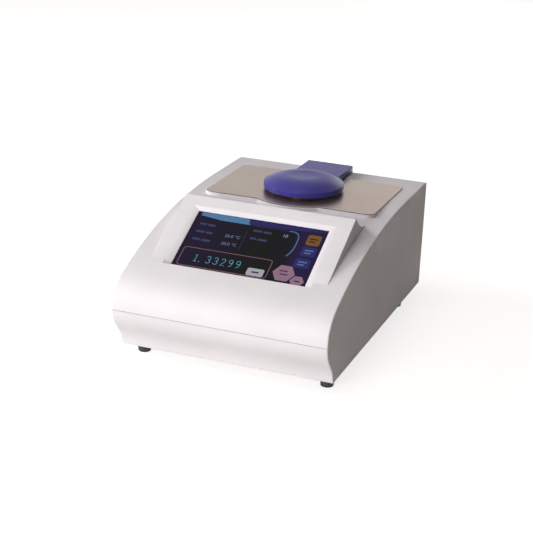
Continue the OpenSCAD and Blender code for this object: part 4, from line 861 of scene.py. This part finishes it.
# %% Shapes on the screen
GLASS_EDGE, GLASS_BACK = 4.0, -5.6
BASE, LIFT, OVER = -0.02, 0.03, 0.06
SHARES = (SCREEN_W, SCREEN_L)


def on_screen(u, v, lift):
    """Housing places of screen shares, lifted off the glass by a few hundredths of a millimetre."""
    return from_panel((np.asarray(u) - 0.5) * SCREEN_W, SCREEN_TOP + np.asarray(v) * SCREEN_L,
                      GLASS_OUT + lift)


def box_path(u0, u1, v0, v1, corner=0.02, steps=6):
    """Outline of a rounded box in shares: four quarter arcs, whose height allows for the
    screen's proportions."""
    tall = corner * SCREEN_W / SCREEN_L
    turns = [((u1 - corner, v1 - tall), 0), ((u0 + corner, v1 - tall), 90),
             ((u0 + corner, v0 + tall), 180), ((u1 - corner, v0 + tall), 270)]
    parts = [arc((0, 0), 1, start, start + 90, steps) * [corner, tall] + middle for middle, start in turns]
    return np.concatenate(parts)


def ring_path(u, v, radius, sides):
    """Outline of a regular shape in shares, with a corner to the right."""
    return arc((0, 0), radius, 0, 360, sides + 1)[:-1] * [1, SCREEN_W / SCREEN_L] + [u, v]


def filled(path, low, high):
    """A sheet for a filled shape: its outline at two heights, capped."""
    return np.stack([on_screen(*path.T, low), on_screen(*path.T, high)]), False, True, True


def boxes(places, corner, low=BASE, high=LIFT):
    """Sheets for filled boxes with rounded corners, each place given as u0, u1, v0 and v1."""
    return [filled(box_path(*place, corner), low, high) for place in places]


def bars(places):
    """Sheets for label bars that lie over another shape."""
    return boxes(places, 0.004, LIFT, OVER)


def line(path, width, low, high, closed, put=on_screen, size=SHARES):
    """A sheet for a line: a narrow rectangle carried along a path. The side direction is the path's
    own direction turned a quarter, worked out in millimetres: size says how many make one unit of
    the path. put places the path's units on a surface."""
    track = path * size
    ahead = np.roll(track, -1, 0) - np.roll(track, 1, 0) if closed else np.gradient(track, axis=0)
    aside = np.stack([-ahead[:, 1], ahead[:, 0]], 1)
    aside *= width / 2 / np.linalg.norm(aside, axis=1)[:, None]
    one, other = (track - aside) / size, (track + aside) / size
    corners = [put(*one.T, low), put(*one.T, high), put(*other.T, high), put(*other.T, low)]
    return np.stack(corners, axis=1), closed, True, not closed


def picture(name, colour, sheets):
    """Shows one colour of the picture."""
    return show(name, new_mesh(name, sheets), lit(name, linear(*colour)), "housing")


# %% Glass with its dark background
glass_x = SCREEN_W / 2 + GLASS_EDGE
glass_section = [(-glass_x, GLASS_BACK), (glass_x, GLASS_BACK), (glass_x, GLASS_OUT), (-glass_x, GLASS_OUT)]
glass_rows = np.stack([
    from_panel(*np.array([(x, v, w) for x, w in glass_section]).T)
    for v in (SCREEN_TOP - GLASS_EDGE, SCREEN_TOP + SCREEN_L + GLASS_EDGE)
])
show_sheets("screen_face", [(glass_rows, False, True, True)], "screen_glass",
            instead_of=["touch_glass"])

# %% Header, outline and buttons
header = np.array([(0.39, 0.0), (0.99, 0.0), (0.985, 0.035), (0.86, 0.06), (0.74, 0.075), (0.41, 0.095)])
tab = np.array([(0.03, 0.0), (0.40, 0.0), (0.42, 0.10), (0.20, 0.10), (0.03, 0.06)])
sweep = np.concatenate([
    [(0.44, 0.105), (0.60, 0.10), (0.72, 0.10)],
    bend([(0.745, 0.10), (0.785, 0.10), (0.806, 0.15), (0.806, 0.24)], 8),
    bend([(0.806, 0.30), (0.806, 0.40), (0.795, 0.46), (0.772, 0.52)], 6),
])
picture("picture_header", (44, 38, 98), [filled(header, BASE, LIFT)])
picture("picture_tab", (84, 128, 170), [filled(tab, BASE, LIFT)])
picture("picture_sweep", (70, 112, 160), [line(sweep[2:], 1.5, BASE, OVER, False)])
picture("picture_hair", (52, 54, 104), [
    line(sweep[:3], 0.6, BASE, OVER, False),
    line(np.array([(0.42, 0.2), (0.42, 0.37), (0.42, 0.54)]), 0.6, BASE, LIFT, False),
])
picture("picture_gold", (122, 86, 42), boxes([(0.868, 0.968, 0.105, 0.285)], 0.02))
picture("picture_keys", (40, 46, 108), [
    *boxes([(0.862, 0.972, 0.315, 0.475), (0.852, 0.962, 0.515, 0.675)], 0.016),
    *boxes([(0.885, 0.985, 0.955, 0.995)], 0.01),
])
picture("picture_marks", (104, 112, 160), bars([
    (0.885, 0.95, 0.365, 0.385), (0.885, 0.935, 0.41, 0.43),
    (0.875, 0.94, 0.565, 0.585), (0.875, 0.925, 0.61, 0.63),
]))
picture("picture_dark_marks", (56, 36, 18), bars([
    (0.885, 0.95, 0.165, 0.185), (0.885, 0.935, 0.21, 0.23),
]))

# %% Result box, hexagons and label bars
result_box = box_path(0.03, 0.70, 0.625, 0.935, 0.022)
low_shape = np.array([(0.775, 0.955), (0.845, 0.965), (0.855, 0.998), (0.785, 0.998)])
labels = [(0.05, 0.055, 0.185), (0.115, 0.055, 0.19), (0.05, 0.07, 0.32), (0.13, 0.05, 0.325),
          (0.05, 0.06, 0.455), (0.12, 0.07, 0.46), (0.46, 0.07, 0.165), (0.54, 0.06, 0.17),
          (0.46, 0.05, 0.30), (0.52, 0.07, 0.305)]
LABEL_TALL = 0.035
picture("picture_frame", (150, 106, 116), [line(result_box, 0.7, BASE, LIFT, True)])
picture("picture_white_key", (172, 174, 182), boxes([(0.55, 0.675, 0.80, 0.925)], 0.014))
picture("picture_hexagons", (150, 116, 136), [
    filled(ring_path(u, v, radius, 6), BASE, LIFT)
    for u, v, radius in [(0.812, 0.80, 0.082), (0.925, 0.895, 0.052)]
])
picture("picture_low_shape", (112, 78, 86), [filled(low_shape, BASE, LIFT)])
picture("picture_hex_marks", (70, 44, 84), bars([
    (0.775, 0.835, 0.755, 0.775), (0.785, 0.845, 0.81, 0.83),
    (0.905, 0.945, 0.885, 0.905), (0.585, 0.64, 0.85, 0.875),
]))
picture("picture_labels", (58, 66, 104), boxes([
    (u, u + width, v, v + LABEL_TALL) for u, width, v in labels
], 0.005))


# %% Small numbers
CAPITAL, NUMBER_T = 0.7, 0.03


def numbers(name, text, u, v, height, colour):
    """Digits as a thin mesh: the text's flat axes become across and up the slope. A capital's
    height is about seven tenths of the text's size."""
    letters = bpy.data.curves.new(name, "FONT")
    letters.body = text
    letters.size = height / CAPITAL * MM
    letters.extrude = NUMBER_T * MM
    letters.resolution_u = 3
    holder = bpy.data.objects.new(name + "_text", letters)
    scene.collection.objects.link(holder)
    mesh = bpy.data.meshes.new_from_object(holder)
    bpy.data.objects.remove(holder)
    start = from_housing(on_screen(u, v, 0.04))
    slope = Matrix.Rotation(SLOPE, 4, "X")
    mesh.transform(Matrix.Translation(start.tolist()) @ slope)
    mesh.name = name
    return show(name, mesh, lit(name, linear(*colour)), "housing")


# %% Large digits, drawn in a unit box with v downwards
UPPER, LOWER = ([0.5, 0.27], [0.34, 0.25]), ([0.5, 0.73], [0.38, 0.26])
DIGIT_W, DIGIT_H, STEP, STROKE = 0.040, 0.118, 0.056, 0.55


def bowl_stroke(ellipse, start, end):
    """Arc of an ellipse, given by its middle and its half width and height."""
    middle, half = ellipse
    return arc((0, 0), 1, start, end, 14) * half + middle


DIGITS = {
    "1": [np.array([(0.26, 0.14), (0.52, 0.02), (0.52, 0.97)]), np.array([(0.22, 0.98), (0.82, 0.98)])],
    "2": [np.concatenate([bowl_stroke(UPPER, 190, 395), [(0.12, 0.98), (0.90, 0.98)]])],
    "3": [bowl_stroke(UPPER, 200, 450), bowl_stroke(LOWER, -90, 160)],
    "9": [bowl_stroke(UPPER, 0, 360), bend([(0.84, 0.27), (0.90, 0.62), (0.72, 0.92), (0.28, 0.98)], 10)],
    ".": [np.array([(0.06, 0.95), (0.22, 0.95)]), np.array([(0.06, 0.98), (0.22, 0.98)])],
}


def drawn_number(name, text, u, v, colour):
    """Large digits in narrow strokes, each box one step right of the one before. The step after a
    one or a dot is shorter."""
    sheets = []
    for mark in text:
        for stroke in DIGITS[mark]:
            placed = stroke * [DIGIT_W, DIGIT_H] + [u, v - DIGIT_H]
            sheets.append(line(placed, STROKE, BASE, LIFT, False))
        u += STEP * (0.85 if mark in ".1" else 1.0)
    picture(name, colour, sheets)


drawn_number("reading", "1.33299", 0.130, 0.845, (104, 190, 212))
numbers("upper_value", "20.0 °C", 0.275, 0.365, 4.2, (120, 126, 176))
numbers("lower_value", "20.0 °C", 0.275, 0.500, 4.2, (120, 126, 176))
numbers("count", "10", 0.685, 0.215, 4.4, (150, 160, 200))

# %% [markdown]
# ## Marks on the rocker
# The rocker's face is a shallow V that stands turned about its pin. A plain line and a ring are
# printed on its two halves, as on most such switches. The line helper draws them too, with a
# function that puts millimetres of width and height on the V instead of the screen.


# %% Line and ring
ROCKER_X, ROCKER_S, ROCKER_H = -45.0, BODY_D - 8, 40.0
FACE_OUT, FACE_RISE, FACE_HALF = 4.6, 1.6, 7.6
ROCKER_TILT = math.radians(8)


def on_rocker(x, h, lift):
    """Housing places on the rocker's face. Before it turns, the face stands FACE_OUT from the pin's
    axis at its middle, and FACE_RISE more at its two ends. It is then turned by ROCKER_TILT."""
    h, out = np.asarray(h, float), FACE_OUT + FACE_RISE * np.abs(h) / FACE_HALF + lift
    s = ROCKER_S + out * np.cos(ROCKER_TILT) + h * np.sin(ROCKER_TILT)
    up_h = ROCKER_H - out * np.sin(ROCKER_TILT) + h * np.cos(ROCKER_TILT)
    return np.stack([x + ROCKER_X, s, up_h], axis=-1)


bar = np.array([(0, 2.6), (0, 4.0), (0, 5.4)])
ring = arc((0, -4.0), 1.3, 0, 360, 41)[:-1]
marks = [line(path, 0.45, -0.03, 0.03, closed, on_rocker, (1, 1))
         for path, closed in [(bar, False), (ring, True)]]
show_sheets("rocker_marks", marks, "liner_white", "rocker")

# %% [markdown]
# ## Room, light and background
# The instrument stands on a plain pale floor. One broad lamp lights the nose from low in front, one
# lights it from the left, and a weak one overhead fills the top. Another weak one behind lights the
# back. The world adds a dim warm light, so the right side falls into warm shade. The background is
# white because the world and the floor glow only for the camera and for reflections, which doesn't
# put more light on the object.

# %% Light and floor
ROOM_GLOW, ROOM_TONE = 0.05, (1.0, 0.70, 0.54, 1)
FLOOR_GLOW, FLOOR_TONES = 0.77, [(0.60, 0.562, 0.53, 1), (0.62, 0.582, 0.55, 1)]
LAMP_SIDE, LAMP_AIM = 1.2, (0, 0, 0.08)

scene.view_settings.view_transform = "Standard"
world = bpy.data.worlds.new("room")
scene.world = world
world.use_nodes = True
sky = world.node_tree
seen = seen_rays(sky)
backdrop = sky.nodes["Background"]
sky.links.new(spread_to(sky, seen, 0.0, 1.0, ROOM_GLOW, 1.0), backdrop.inputs["Strength"])
sky.links.new(mixed(sky, seen, ROOM_TONE, WHITE), backdrop.inputs["Color"])


def lamp(name, place, power):
    """A square soft lamp that looks from its place at LAMP_AIM."""
    light = bpy.data.lights.new(name, "AREA")
    light.shape = "SQUARE"
    light.size = LAMP_SIDE
    light.energy = power
    holder = bpy.data.objects.new(name, light)
    scene.collection.objects.link(holder)
    away = np.array(place, float) - LAMP_AIM
    across = np.cross([0, 0, 1], away)
    across /= np.linalg.norm(across)
    away /= np.linalg.norm(away)
    turned_to = np.eye(4)
    turned_to[:3, :3] = np.column_stack([across, np.cross(away, across), away])
    turned_to[:3, 3] = place
    holder.matrix_world = Matrix(turned_to.tolist())


lamp("front", (-0.5, -2.3, 0.42), 47)
lamp("left", (-2.2, -0.6, 1.2), 40)
lamp("top", (-0.2, -0.3, 2.4), 9)
lamp("behind", (0.3, 2.4, 0.8), 6)

floor_material, tree, ground = new_material("floor")
speckle = use(tree, grain, {"Grain": 0.002, "Patch": 0.4})
tree.links.new(mixed(tree, speckle["Patches"], *FLOOR_TONES), ground.inputs["Base Color"])
ground.inputs["Roughness"].default_value = 0.9
floor_glow = sums(tree, "MULTIPLY", seen_rays(tree), FLOOR_GLOW)
tree.links.new(floor_glow, ground.inputs["Emission Strength"])
ground.inputs["Emission Color"].default_value = WHITE

side = np.linspace(-4, 4, 9)
floor_x, floor_y = np.meshgrid(side, side + 1)
floor_points = np.stack([floor_x, floor_y, np.zeros_like(floor_x)], axis=-1).reshape(-1, 3)
floor_mesh = bpy.data.meshes.new("floor")
floor_mesh.from_pydata(floor_points.tolist(), [], quads(9, 9).tolist())
floor_mesh.materials.append(floor_material)
floor = bpy.data.objects.new("floor", floor_mesh)
scene.collection.objects.link(floor)
